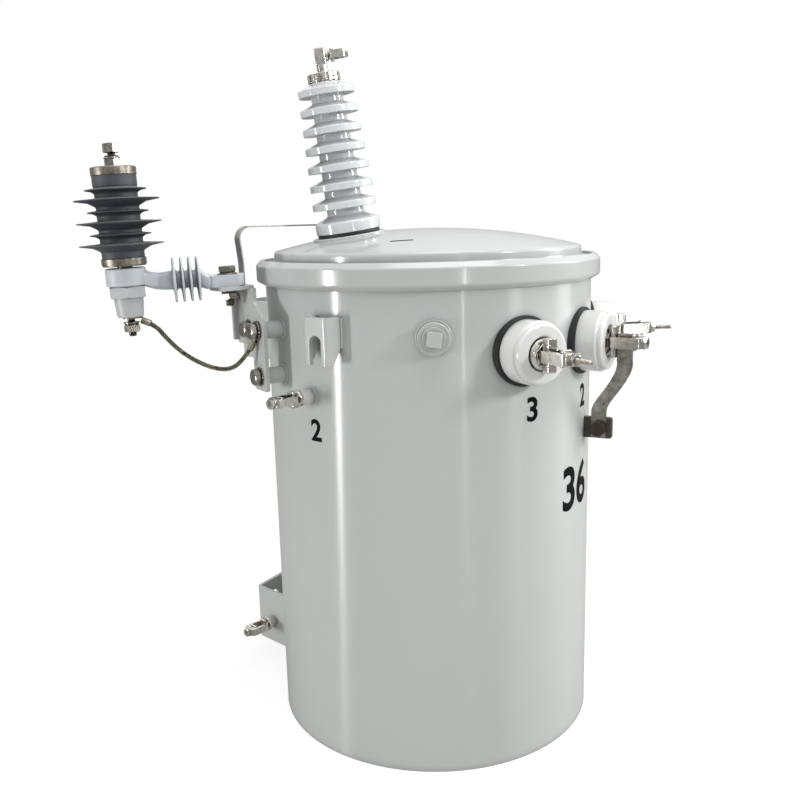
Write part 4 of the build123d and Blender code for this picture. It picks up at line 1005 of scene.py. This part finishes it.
@dataclass
class HighVoltageBushing(OnTank):
    """The shedded porcelain on the cover with its gasket, cap nut and terminal."""

    angle: float = -128.0
    reach: float = 113.0
    pad_rise: float = 2.0
    pad_radius: float = 48.0
    pad_depth: float = 8.0
    gasket: float = 4.5
    flange_radius: float = 43.0
    flange_height: float = 14.0
    flange_cone: float = 8.0
    foot_radius: float = 24.8
    neck_radius: float = 20.3
    height: float = 190.0
    sheds: int = 7
    first: float = 31.0
    pitch: float = 23.8
    low_reach: float = 42.5
    high_reach: float = 36.5
    edge: float = 8.4
    cone: float = 6.4
    nut_radius: float = 21.0
    nut_height: float = 11.5
    nut_grooves: int = 16
    nut_groove: float = 1.9
    nut_washer: Pair = (3.5, 1.6)
    stem_radius: float = 7.0
    stem_height: float = 10.0
    block: float = 14.0
    block_height: float = 21.0
    eye_angle: float = 30.0

    def seat(self) -> Seat:
        """The porcelain's own seat, square to the dome."""
        out = outward(self.angle)
        tilt = math.asin(self.reach / self.dome)
        normal = out * math.sin(tilt) + UP * math.cos(tilt)
        foot = out * self.reach + UP * self.level(self.reach)
        return facing_seat(foot + normal * (self.pad_rise + self.gasket), normal, out)

    def pad(self, blank: Blank) -> None:
        """Adds the pad that the gasket sits on to the cover's blank."""
        foot, low = self.pad_radius + self.pad_rise, -self.pad_depth
        corners = [(0, low, 0), (foot, low, 0), (self.pad_radius, 0, 1.8), (0, 0, 0)]
        blank.turn(self.seat().lifted(-self.gasket), corners, 128)

    def bare(self, level: float) -> float:
        """The porcelain's radius between sheds, at a level above its seat."""
        low = self.flange_height + self.flange_cone
        share = (level - low) / (self.height - low)
        return self.foot_radius + (self.neck_radius - self.foot_radius) * share

    def porcelain(self) -> None:
        """Turns the shedded porcelain."""
        low = self.flange_height + self.flange_cone
        corners = [(0, 0, 0), (self.flange_radius, 0, 1.0)]
        corners += [(self.flange_radius, self.flange_height, 3.5), (self.bare(low), low, 4.0)]
        for number in range(self.sheds):
            under = self.first + number * self.pitch
            reach = self.low_reach + (self.high_reach - self.low_reach) * number / (self.sheds - 1)
            over = under + self.edge + self.cone
            corners += [(self.bare(under), under, 1.5), (reach, under, 1.1)]
            corners += [(reach, under + self.edge, 1.4), (self.bare(over), over, 1.6)]
        corners += [(self.neck_radius, self.height, 1.2), (0, self.height, 0)]
        blank = Blank().turn(self.seat(), corners, 144)
        blank.piece("high_voltage_porcelain", Coat.GREY_GLAZE, "bushing_porcelain", crease=50)

    def terminal(self) -> None:
        """Builds the grooved nut and the terminal above it."""
        nut, top = self.seat().lifted(self.height), self.nut_height
        blank = Blank().grooved(nut, self.nut_radius, top, self.nut_grooves, self.nut_groove)
        wide, thick = self.nut_washer
        blank.disc(nut, self.stem_radius + wide, top, top + thick)
        blank.piece("cap_nut_grooved", Coat.TINNED_BRONZE, "bushing_cap_nut", crease=28)
        block = nut.lifted(top + self.stem_height)
        level = outward(self.eye_angle)
        along = (level - nut.z * level.dot(nut.z)).normalized()
        post = Blank().disc(nut, self.stem_radius, top, top + self.stem_height + 1)
        square = facing_seat(block.origin, nut.z, along)
        post.slab(square, box_outline(self.block, self.block, 2.5), 0, self.block_height, 1.6)
        place = block.at(0, 0, self.block_height / 2) + along * (self.block / 2)
        eye = facing_seat(place, along, nut.z.cross(along))
        Eye.SMALL.dress(eye, "bushing_terminal", "bushing_clamp", post)

    def build(self) -> None:
        """Builds and dresses the bushing."""
        self.porcelain()
        softened("bushing_gasket", Coat.NITRILE, 0.8)
        self.terminal()


@dataclass
class Tank(OnTank):
    """The tank with its cover, band, bosses and pole side."""

    wall: float = 4.0
    height: float = 640.0
    flange: float = 5.0
    flange_thickness: float = 4.0
    cover_seat: float = 640.8
    ledge: float = 649.8
    step_radius: float = 211.6
    shoulder: float = 663.2
    cover_thickness: float = 3.0
    dome_steps: int = 40
    band_radius: float = 236.7
    band_top: float = 652.7
    band_thickness: float = 2.6
    band_shoulder: float = 6.5
    band_wall: float = 21.0
    band_lip: float = 11.0
    band_foot: float = 6.5
    band_gap: float = 0.3
    band_lug_angle: float = 128.0
    band_lug_face: float = 13.0
    band_lug_middle: float = 13.0
    band_bolt: Quad = (13.0, 6.5, 4.0, 13.0)
    # Each boss's angle round the tank, its height, its radius and its length
    bosses: tuple[Quad, ...] = (
        (-118.5, 509.0, 11.0, 28.0), (-118.5, 568.0, 11.0, 28.0),
        (-103.0, 488.0, 10.5, 20.0), (-60.0, 565.0, 19.5, 11.0),
    )
    bite: float = 12.0
    plug_rim: float = 14.2
    plug_rim_height: float = 3.0
    plug_head: float = 18.0
    plug_head_height: float = 9.0
    hanger_angle: float = 180.0
    hanger_feet: Pair = (27.0, 499.0)
    hanger_height: float = 88.0
    hanger_spread: float = 15.6
    lug_angles: Pair = (-94.5, 85.5)
    lug_run: Pair = (552.0, 588.0)
    lug_spread: float = 5.4
    seam: Triple = (-146.0, 4.0, 617.0)
    weld: float = 2.0
    weld_step: float = 2.2
    seam_steps: int = 280
    seam_sunk: float = 1.3

    def dome_line(self, sunk: float, rim: float) -> list[Triple]:
        """The dome's corners from a rim in to its crown, sunk this far and left sharp."""
        radii = [rim * (1 - k / self.dome_steps) for k in range(self.dome_steps + 1)]
        return [(r, self.level(r) - sunk, 0) for r in radii]

    def shell(self) -> None:
        """Turns the wall, and dresses the bottom."""
        rim, inner = self.radius + self.flange, self.radius - self.wall
        under = self.height - self.flange_thickness
        line = [(inner, 0, 0.6), (self.radius, 0, 1.4), (self.radius, under, 1.0)]
        line += [(rim, under, 0.6), (rim, self.height, 0.4), (inner, self.height, 0.4)]
        Blank().turn(GROUND, line, 288, True).piece("tank_wall_rolled", Coat.WALL_ENAMEL, "tank_shell")
        softened("tank_bottom", Coat.ENAMEL, 0.0)

    def cover(self) -> None:
        """Turns the cover with its pad."""
        rim, step = self.radius + self.flange, self.step_radius
        hollow = step - self.cover_thickness
        skirt = [(hollow, self.cover_seat, 0), (rim, self.cover_seat, 0.5), (rim, self.ledge, 1.5)]
        skirt += [(step, self.ledge, 3.0), (step, self.shoulder, 5.0)]
        lining = self.dome_line(self.cover_thickness, hollow)[::-1]
        # The shoulder's rounding takes up the first two points of the dome
        blank = Blank().turn(GROUND, [*lining, *skirt, *self.dome_line(0.0, step)[2:]], 256)
        HighVoltageBushing().pad(blank)
        blank.piece("cover_pressed", Coat.ENAMEL, "cover", crease=50)

    def band(self) -> None:
        """Turns the band."""
        top, thick, out = self.band_top, self.band_thickness, self.band_radius
        high = top - self.band_shoulder
        foot = high - self.band_wall
        lip, bend, inner = out - self.band_lip, out - self.band_shoulder, self.radius + self.band_gap
        strip = [
            (inner, foot - self.band_foot, 0.8), (out, foot, 4.0), (out, high, 4.0), (bend, top, 3.0),
            (lip, top, 0.8), (lip, top - thick, 0.4), (bend, top - thick, 1.0), (out - thick, high, 1.0),
            (out - thick, foot + thick, 1.0), (inner, foot + thick - self.band_foot, 0.4),
        ]
        blank = Blank().turn(GROUND, strip, 256, True)
        blank.piece("cover_band_rolled", Coat.ENAMEL, "cover_band", crease=50)

    def fittings(self) -> None:
        """Turns the bosses and the plug."""
        blank = Blank()
        for angle, height, radius, length in self.bosses:
            seat = wall_seat(angle, self.radius - self.bite, height)
            blank.disc(seat, radius, 0, length + self.bite, 1.2)
        blank.piece("bosses_turned", Coat.ENAMEL, "tank_bosses")
        angle, height, _, length = self.bosses[-1]
        seat, rim = wall_seat(angle, self.radius + length, height), self.plug_rim_height
        square = box_outline(self.plug_head, self.plug_head, 2.0)
        blank = Blank().disc(seat, self.plug_rim, 0, rim, 0.8)
        blank.slab(seat.turned(-8), square, rim, rim + self.plug_head_height, 1.2)
        blank.piece("oil_plug_cast", Coat.ENAMEL, "oil_plug")

    def joint(self) -> None:
        """Dresses the band's lugs, and turns the bolt through them."""
        softened("band_lugs", Coat.ENAMEL, 0.8)
        face = self.band_lug_face
        across, head, radius, tail = self.band_bolt
        out = outward(self.band_lug_angle)
        middle = self.band_top - self.band_shoulder - self.band_wall / 2
        place = out * (self.band_radius + self.band_lug_middle) + UP * middle
        seat = facing_seat(place, Vector((-out.y, out.x, 0)), UP)
        bolt = Fasteners("band_bolt").head(seat.lifted(face), across, head, both=True)
        bolt.head(seat.lifted(-face).flipped(), across, head).tail(seat, radius, -face, face + tail).dress()

    def around(self, angle: float, height: float, reach: float) -> list[Vector]:
        """A ring of points on the wall about a boss."""
        seat = wall_seat(angle, 0, height)
        flat = [(reach * math.cos(a), reach * math.sin(a)) for a in spokes(48)]
        return [seat.at(x, y, math.sqrt(self.radius**2 - x * x)) for x, y in flat]

    def upright(
        self, angle: float, low: float, high: float, sunk: float = 0.0, count: int = 0
    ) -> list[Vector]:
        """A line of points up the wall, or sunk in it, in this many even steps or in a weld's own."""
        count = count or int((high - low) / self.weld_step)
        levels = [low + (high - low) * k / count for k in range(count + 1)]
        return [wall_seat(angle, self.radius - sunk, level).origin for level in levels]

    def welds(self) -> None:
        """Lays the weld beads at the bosses, lugs and hangers, and the wall's own seam."""
        blank = Blank()
        for angle, height, radius, _ in self.bosses:
            blank.bead(self.around(angle, height, radius + 0.7), self.weld, True)
        for side in (-1, 1):
            for foot in self.hanger_feet:
                angle = self.hanger_angle + side * self.hanger_spread
                blank.bead(self.upright(angle, foot, foot + self.hanger_height), self.weld)
        for side in (-1, 1):
            for angle in self.lug_angles:
                blank.bead(self.upright(angle + side * self.lug_spread, *self.lug_run), self.weld)
        blank.bead(self.upright(*self.seam, self.seam_sunk, self.seam_steps), self.weld)
        blank.piece("weld_beads", Coat.ENAMEL, crease=60)

    def build(self) -> None:
        """Builds and dresses the tank."""
        self.shell()
        self.cover()
        self.band()
        self.fittings()
        self.joint()
        self.welds()
        softened("hanger_boss", Coat.ENAMEL, 0.8)
        for node in ("upper_hanger", "lower_hanger", "lifting_lug_near", "lifting_lug_far"):
            softened(node, Coat.ENAMEL, 1.4)


@dataclass
class Arrester:
    """The surge arrester on its bracket and insulating arm."""

    angle: float = -118.5
    plate_back: float = 253.0
    plate_front: float = 258.0
    bolt_heights: Pair = (509.0, 568.0)
    side_bolt: float = -29.0
    side_nut: float = 9.0
    lug_lift: float = 2.0
    washer: float = 12.5
    across: float = 19.0
    head_top: float = 10.5
    arm_reach: float = 278.0
    arm_offset: float = -40.0
    arm_height: float = 624.0
    arm_angle: float = -133.5
    arm_tilt: float = -2.0
    arm_length: float = 124.0
    arm_nut: Quad = (11.5, 6.0, 11.0, 20.5)
    pad_thickness: float = 15.0
    pad_width: float = 34.0
    pad_ends: Pair = (-20.0, 24.0)
    pad_corners: Pair = (9.0, 5.0)
    tab_thickness: float = 5.0
    squareness: float = 0.55
    # Along the beam: how far out, the underside and the top from the fins' axis, and half the width
    beam: tuple[Quad, ...] = (
        (62, -11.6, 11.6, 9.6), (72, -11.4, 11.6, 9.6), (79, -11.0, 11.0, 9.6), (85, -10.4, 10.6, 9.6),
        (90, -9.4, 11.2, 9.7), (95, -7.8, 12.8, 10.2), (100, -5.8, 15.2, 11.6), (105, -3.8, 17.2, 14.6),
        (112, -2.0, 18.0, 18.0),
    )
    rod_radius: float = 11.0
    fins: tuple[float, ...] = (37.0, 46.8, 56.6, 66.4)
    fin_rise: float = 5.0
    # Half a fin's section: its radius, half its thickness there and the corner's radius
    fin_half: tuple[Triple, ...] = ((0, 2.8, 0), (12.5, 2.8, 1), (15.5, 1.7, 2), (28.0, 1.1, 0.7))
    collar_radius: float = 24.5
    collar_height: float = 22.0
    collar_rise: float = 13.5
    gap: float = 2.2
    gap_radius: float = 9.0
    cap_radius: float = 27.0
    cap_height: float = 10.0
    housing_height: float = 99.0
    housing_radius: float = 25.5
    housing_collar: float = 26.3
    housing_collar_height: float = 13.0
    # Each shed's level as a share of the height, its reach and its depth at the root
    sheds: tuple[Triple, ...] = (
        (0.171, 50.5, 9.0), (0.293, 36.3, 5.0), (0.44, 50.5, 9.0),
        (0.57, 36.3, 5.0), (0.715, 50.5, 9.0), (0.837, 36.3, 5.0),
    )
    shed_tip: float = 1.2
    shed_rise: float = 1.6
    shed_hollow: Pair = (0.36, 0.34)
    terminal_across: float = 17.0
    terminal_levels: Quad = (9.5, 13.0, 16.5, 27.5)
    terminal_spring: float = 8.2
    terminal_sunk: float = 1.2
    stud_radius: float = 5.0
    washer_radius: float = 9.8
    washer_thickness: float = 1.5
    cup_across: float = 42.0
    cup_collar: float = 15.0
    cup_radii: Pair = (18.0, 16.0)
    cup_height: float = 24.0
    stud_length: float = 24.0
    stud_flange: Pair = (9.0, 1.6)
    stud_levels: Quad = (6.0, 7.6, 9.5, 18.5)
    stud_spring: float = 8.4

    def arm_seat(self) -> Seat:
        """The arm's seat on the bracket's tab, with x along the arm."""
        side = wall_seat(self.angle, self.arm_reach, self.arm_height)
        tilt = math.radians(self.arm_tilt)
        out = outward(self.arm_angle)
        along = out * math.cos(tilt) + UP * math.sin(tilt)
        above = UP * math.cos(tilt) - out * math.sin(tilt)
        return facing_seat(side.at(self.arm_offset, 0, 0), above, along)

    def stack(self) -> Seat:
        """The seat on top of the arm's collar."""
        rise = self.pad_thickness / 2 + self.collar_rise + self.collar_height / 2
        return self.arm_seat().lifted(rise, self.arm_length)

    def section(self, x: float, level: float, wide: float, tall: float) -> list[Vector]:
        """The arm's section at a distance along it: a round drawn out towards a box."""
        seat = self.arm_seat()
        rounds = [(math.cos(a), math.sin(a)) for a in spokes(40)]
        drawn = [[math.copysign(abs(v) ** self.squareness, v) for v in pair] for pair in rounds]
        return [seat.at(x, c * wide, level + s * tall) for c, s in drawn]

    def arm(self) -> None:
        """Builds the arm: pad, wedge, fins, cranked beam and collar."""
        seat = self.arm_seat()
        (low, high), (back, front), half = self.pad_ends, self.pad_corners, self.pad_width / 2
        outline = [(low, -half, back), (high, -half, front), (high, half, front), (low, half, back)]
        blank = Blank().slab(seat, rounded(outline, True), 0, self.pad_thickness, 1.4)
        middle = self.pad_thickness / 2
        axis = middle + self.fin_rise
        # Along the wedge: how far out, its level, half its width and half its height
        wedge = [(high - 8, middle, half - 1.5, 7.3), (high + 3, middle + 0.6, 15, 9.8)]
        wedge += [(35, axis, 11.5, 11.6)]
        beam = [(x, axis + (foot + top) / 2, wide, (top - foot) / 2) for x, foot, top, wide in self.beam]
        for run in (wedge, beam):
            blank.skin([self.section(*sizes) for sizes in run])
        along = facing_seat(seat.at(0, 0, axis), seat.x, seat.y)
        blank.disc(along, self.rod_radius, self.fins[0] - 5, self.fins[-1] + 5, 1.0)
        for x in self.fins:
            fin = [(r, x - thick, bend) for r, thick, bend in self.fin_half]
            blank.turn(along, fin + [(r, x + thick, bend) for r, thick, bend in self.fin_half[::-1]])
        blank.disc(self.stack(), self.collar_radius, -self.collar_height, 0, 2.2)
        blank.piece("arm_moulded", Coat.MOULDED_POLYESTER, "insulating_arm", crease=40)

        above, under = seat.lifted(self.pad_thickness), seat.lifted(-self.tab_thickness).flipped()
        nut, *tail = self.arm_nut
        bolt = Fasteners("arm_bolt").head(above, self.across, self.head_top, self.washer)
        bolt.head(under, self.across, nut, self.washer, True).tail(under, *tail).dress()

    def housing(self) -> Seat:
        """Turns the two caps and the shedded housing between them.

        Returns:
            The seat on top of the upper cap.
        """
        cap, tall, gap = self.cap_radius, self.cap_height, self.gap
        foot = self.stack().lifted(gap)
        line = [(0, -gap, 0), (self.gap_radius, -gap, 0), (self.gap_radius, 0, 0.5), (cap - 1, 0, 1)]
        line += [(cap - 1, 1.8, 0.4), (cap, 1.8, 0.4), (cap, tall, 1.0), (0, tall, 0)]
        Blank().turn(foot, line).piece("bottom_cap_cast", Coat.CAST_ALUMINIUM, "arrester_bottom_cap")

        base, radius, top = foot.lifted(tall), self.housing_radius, self.housing_height
        tip, (out_share, deep_share) = self.shed_tip, self.shed_hollow
        line = [(0, 0, 0), (radius, 0, 0.4)]
        for share, reach, root in self.sheds:
            level = share * top
            hollow = (radius + out_share * (reach - radius), level - tip - (root - tip) * deep_share, 9.0)
            line += [(radius, level - root, 3.0), hollow, (reach, level - tip, 0.35), (reach, level, 0.35)]
            line += [(radius, level + self.shed_rise, 1.2)]
        collar, wide = top - self.housing_collar_height, self.housing_collar
        line += [(radius, collar, 0.5), (wide, collar, 0.5), (wide, top, 0.6), (0, top, 0)]
        Blank().turn(base, line, 144).piece("housing_moulded", Coat.SILICONE, "arrester_housing", crease=45)

        head = base.lifted(top)
        line = [(0, 0, 0), (cap, 0, 0.6), (cap, tall - 1, 1.0), (cap - 1.2, tall, 0.6), (cap - 3, tall, 0.5)]
        line += [(cap - 3.6, tall - 1.2, 0.5), (0, tall - 1.2, 0)]
        Blank().turn(head, line).piece("top_cap_cast", Coat.CAST_ALUMINIUM, "arrester_top_cap")
        return head.lifted(tall)

    def terminal(self, post: Seat) -> None:
        """Turns the terminal's nut, washers, stud and upper nut on the cap."""
        nut, plate, neck, top = self.terminal_levels
        sunk, across, flat = self.terminal_sunk, self.terminal_across, nut + self.washer_thickness
        bolt = Fasteners("arrester_terminal").head(post.lifted(-sunk), across, nut + sunk, both=True)
        bolt.steel.disc(post, self.washer_radius, nut, flat)
        bolt.springs.coil(post, self.terminal_spring, flat, plate)
        bolt.tail(post, self.stud_radius, nut, neck + 0.5)
        bolt.steel.hexagon(post.turned(15), across, neck, top, True)
        bolt.dress()

    def hanging(self) -> None:
        """Turns the disconnector under the collar, with its stud."""
        seat = self.stack().lifted(-self.collar_height).flipped()
        (low, high), tall = self.cup_radii, self.cup_height
        blank = Blank().hexagon(seat, self.cup_across, 0, self.cup_collar, True)
        cup = [(0, 0, 0), (low, 0, 0), (high, tall, 2.4), (0, tall, 0)]
        blank.turn(seat.lifted(self.cup_collar), cup)
        blank.piece("disconnector_moulded", Coat.MOULDED_POLYCARBONATE, "disconnector", crease=26)
        stud = seat.lifted(self.cup_collar + tall)
        (wide, thick), (washer, spring, nut, end) = self.stud_flange, self.stud_levels
        bolt = Fasteners("disconnector_stud")
        bolt.steel.disc(stud, wide, 0, thick).disc(stud, self.washer_radius, washer, spring)
        bolt.springs.coil(stud, self.stud_spring, spring, nut)
        bolt.steel.hexagon(stud.turned(20), self.terminal_across, nut, end, True)
        bolt.tail(stud, self.stud_radius, 0, self.stud_length).dress()

    def bracket(self) -> None:
        """Dresses the bracket and turns its bolts."""
        softened("arrester_bracket", Coat.ENAMEL, 1.2)
        low, high = self.bolt_heights
        bolts = Fasteners("bracket_bolts")
        for across, height, lift in ((0, low, 0), (0, high, self.lug_lift), (self.side_bolt, high, 0)):
            seat = wall_seat(self.angle, self.plate_front + lift, height).lifted(0, across)
            bolts.head(seat.turned(12), self.across, self.head_top, self.washer)
        back = wall_seat(self.angle, self.plate_back, high).lifted(0, self.side_bolt).flipped()
        bolts.head(back, self.across, self.side_nut, both=True).dress()

    def build(self) -> None:
        """Builds and dresses the arrester."""
        self.bracket()
        self.arm()
        self.terminal(self.housing())
        self.hanging()
        softened("lead_lugs", Coat.TINNED_BRAID, 0.3)
        softened("cover_strap", Coat.GALVANISED, 0.3)
        softened("strap_rivet", Coat.GALVANISED, 0.6)
        softened("cover_stud", Coat.PLATED_STEEL, 0.4)


@dataclass
class Connectors(OnTank):
    """The ground connectors, and the low voltage side with its strap and tab."""

    low_voltage: tuple[float, ...] = (31.0, 0.0, -31.0)
    height: float = 543.0
    gasket: float = 4.0
    base_radius: float = 39.0
    base_height: float = 26.0
    nose_radius: float = 36.2
    nose_height: float = 8.0
    recess_radius: float = 20.5
    recess_depth: float = 7.0
    spigot_radius: float = 26.0
    spigot_depth: float = 26.0
    eye_reach: float = 256.0
    ground_seat: Triple = (-103.0, 245.0, 488.0)
    hanger_place: Triple = (-273.0, -47.34, 64.0)
    hanger_facing: float = 257.626
    hanger_boss: float = 11.0
    tab_seat: Triple = (5.5, 245.0, 424.0)
    tab_half: float = 4.0
    strap: float = 2.4
    tab_across: float = 19.0
    tab_heads: Pair = (8.0, 9.0)
    tab_tail: Pair = (6.0, 12.0)

    def bushing(self, angle: float, number: int) -> None:
        """Turns one low voltage porcelain at its place round the tank and dresses what sits on it."""
        softened(f"lv_gasket_{number}", Coat.NITRILE, 0.8)
        low, foot, step = -self.spigot_depth, self.gasket, self.gasket + self.base_height
        face = step + self.nose_height
        floor = face - self.recess_depth
        corners = [
            (0, low, 0), (self.spigot_radius, low, 0), (self.spigot_radius, foot, 0),
            (self.base_radius, foot, 1.5), (self.base_radius, step, 3.2), (self.nose_radius, step + 0.6, 1.6),
            (self.nose_radius, face, 7.5), (self.recess_radius, face, 2.2), (self.recess_radius, floor, 0.8),
            (0, floor, 0),
        ]
        blank = Blank().turn(wall_seat(angle, self.radius, self.height), corners, 128)
        blank.piece(f"low_voltage_porcelain_{number}", Coat.WHITE_GLAZE, f"lv_bushing_{number}", crease=50)
        eye = Eye.NEUTRAL if angle == 0 else Eye.LINE
        eye.dress(wall_seat(angle, self.eye_reach, self.height), f"lv_eyebolt_{number}", f"lv_clamp_{number}")

    def tab(self) -> None:
        """Dresses the ground strap and its tab, and turns the bolt through them."""
        softened("ground_strap", Coat.TINNED_STRIP, 0.4)
        softened("ground_tab", Coat.PRIMED_STEEL, 1.0)
        wall = wall_seat(*self.tab_seat)
        seat = facing_seat(wall.origin, -wall.x, wall.z)
        near, far = seat.lifted(self.tab_half + self.strap), seat.lifted(-self.tab_half).flipped()
        (head, nut), (radius, end) = self.tab_heads, self.tab_tail
        bolt = Fasteners("ground_tab_bolt", Coat.BLACKED_STEEL).head(near, self.tab_across, head)
        bolt.head(far, self.tab_across, nut, both=True).tail(far, radius, 0, end).dress()

    def build(self) -> None:
        """Builds and dresses the connectors."""
        for number, angle in enumerate(self.low_voltage, 1):
            self.bushing(angle, number)
        Eye.GROUND.dress(wall_seat(*self.ground_seat), "wall_ground_eyebolt", "wall_ground_clamp")
        facing = outward(self.hanger_facing)
        leg = Seat(Vector(self.hanger_place), Vector((-facing.y, facing.x, 0)), UP, facing)
        Eye.GROUND.dress(leg.lifted(self.hanger_boss), "hanger_ground_eyebolt", "hanger_ground_clamp")
        self.tab()


@dataclass
class Markings(OnTank):
    """Plain numerals stencilled on the wall and the cover."""

    rise: float = 0.12
    cap_share: float = 0.7
    bold_share: float = 0.036
    strip: float = 2.0
    strips: int = 30
    # Each numeral with its height, its angle round the tank and the level of its middle
    wall: tuple[tuple[str, float, float, float], ...] = (
        ("3", 29.0, -27.5, 470.0),
        ("2", 29.0, 2.0, 470.0),
        ("1", 29.0, 33.0, 470.0),
        ("2", 27.0, -101.0, 445.0),
        ("36", 56.0, -3.0, 352.0),
    )
    lid: tuple[str, float] = ("1", 27.0)
    lid_place: Triple = (44.0, -146.0, 0.0)
    lid_turn: float = 118.5

    def figures(self, text: str, size: float) -> bpy.types.Mesh:
        """Draws figures of a height flat, their middle at zero, cut to narrow strips that can bend."""
        data = bpy.data.curves.new("figures", "FONT")
        data.body = text
        data.size = size / self.cap_share
        data.offset = size * self.bold_share
        data.extrude = self.rise
        data.align_x = "CENTER"
        guide = bpy.data.objects.new("figures", data)
        flat = bpy.data.meshes.new_from_object(guide)
        bpy.data.objects.remove(guide)
        start = bmesh.new()
        start.from_mesh(flat)
        for k in range(-self.strips, self.strips + 1):
            every = [*start.verts, *start.edges, *start.faces]
            bmesh.ops.bisect_plane(start, geom=every, plane_co=(k * self.strip, 0, 0), plane_no=(1, 0, 0))
        bmesh.ops.translate(start, vec=(0, -size / 2, 0), verts=start.verts)
        start.to_mesh(flat)
        start.free()
        return flat

    def on_wall(self, flat: Vector, angle: float, level: float) -> Vector:
        """Bends a flat point round the wall, at an angle and a level."""
        out = outward(angle + math.degrees(flat.x / self.radius))
        return out * (self.radius + flat.z) + UP * (level + flat.y)

    def on_lid(self, flat: Vector) -> Vector:
        """Lays a flat point on the cover's dome."""
        along, above = outward(self.lid_turn), outward(self.lid_turn + 90)
        place = Vector(self.lid_place) + along * flat.x + above * flat.y
        return place + UP * (self.level(place.length) + flat.z)

    def build(self) -> None:
        """Stencils the numerals."""
        blank = Blank()
        stencils = [(text, size, partial(self.on_wall, angle=a, level=z)) for text, size, a, z in self.wall]
        for text, size, laid in [*stencils, (*self.lid, self.on_lid)]:
            flat = self.figures(text, size)
            for vert in flat.vertices:
                vert.co = laid(vert.co)
            blank.mesh.from_mesh(flat)
            bpy.data.meshes.remove(flat)
        blank.piece("stencilled_numerals", Coat.STENCIL_INK, crease=30)


def main() -> None:
    """Builds the scene."""
    logging.basicConfig(level=logging.INFO, format="%(message)s", stream=sys.stdout)
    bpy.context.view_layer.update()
    Studio().build()
    GroundLead().build()
    for part in (Tank(), HighVoltageBushing(), Arrester(), Connectors(), Markings()):
        part.build()


if __name__ == "__main__":
    main()
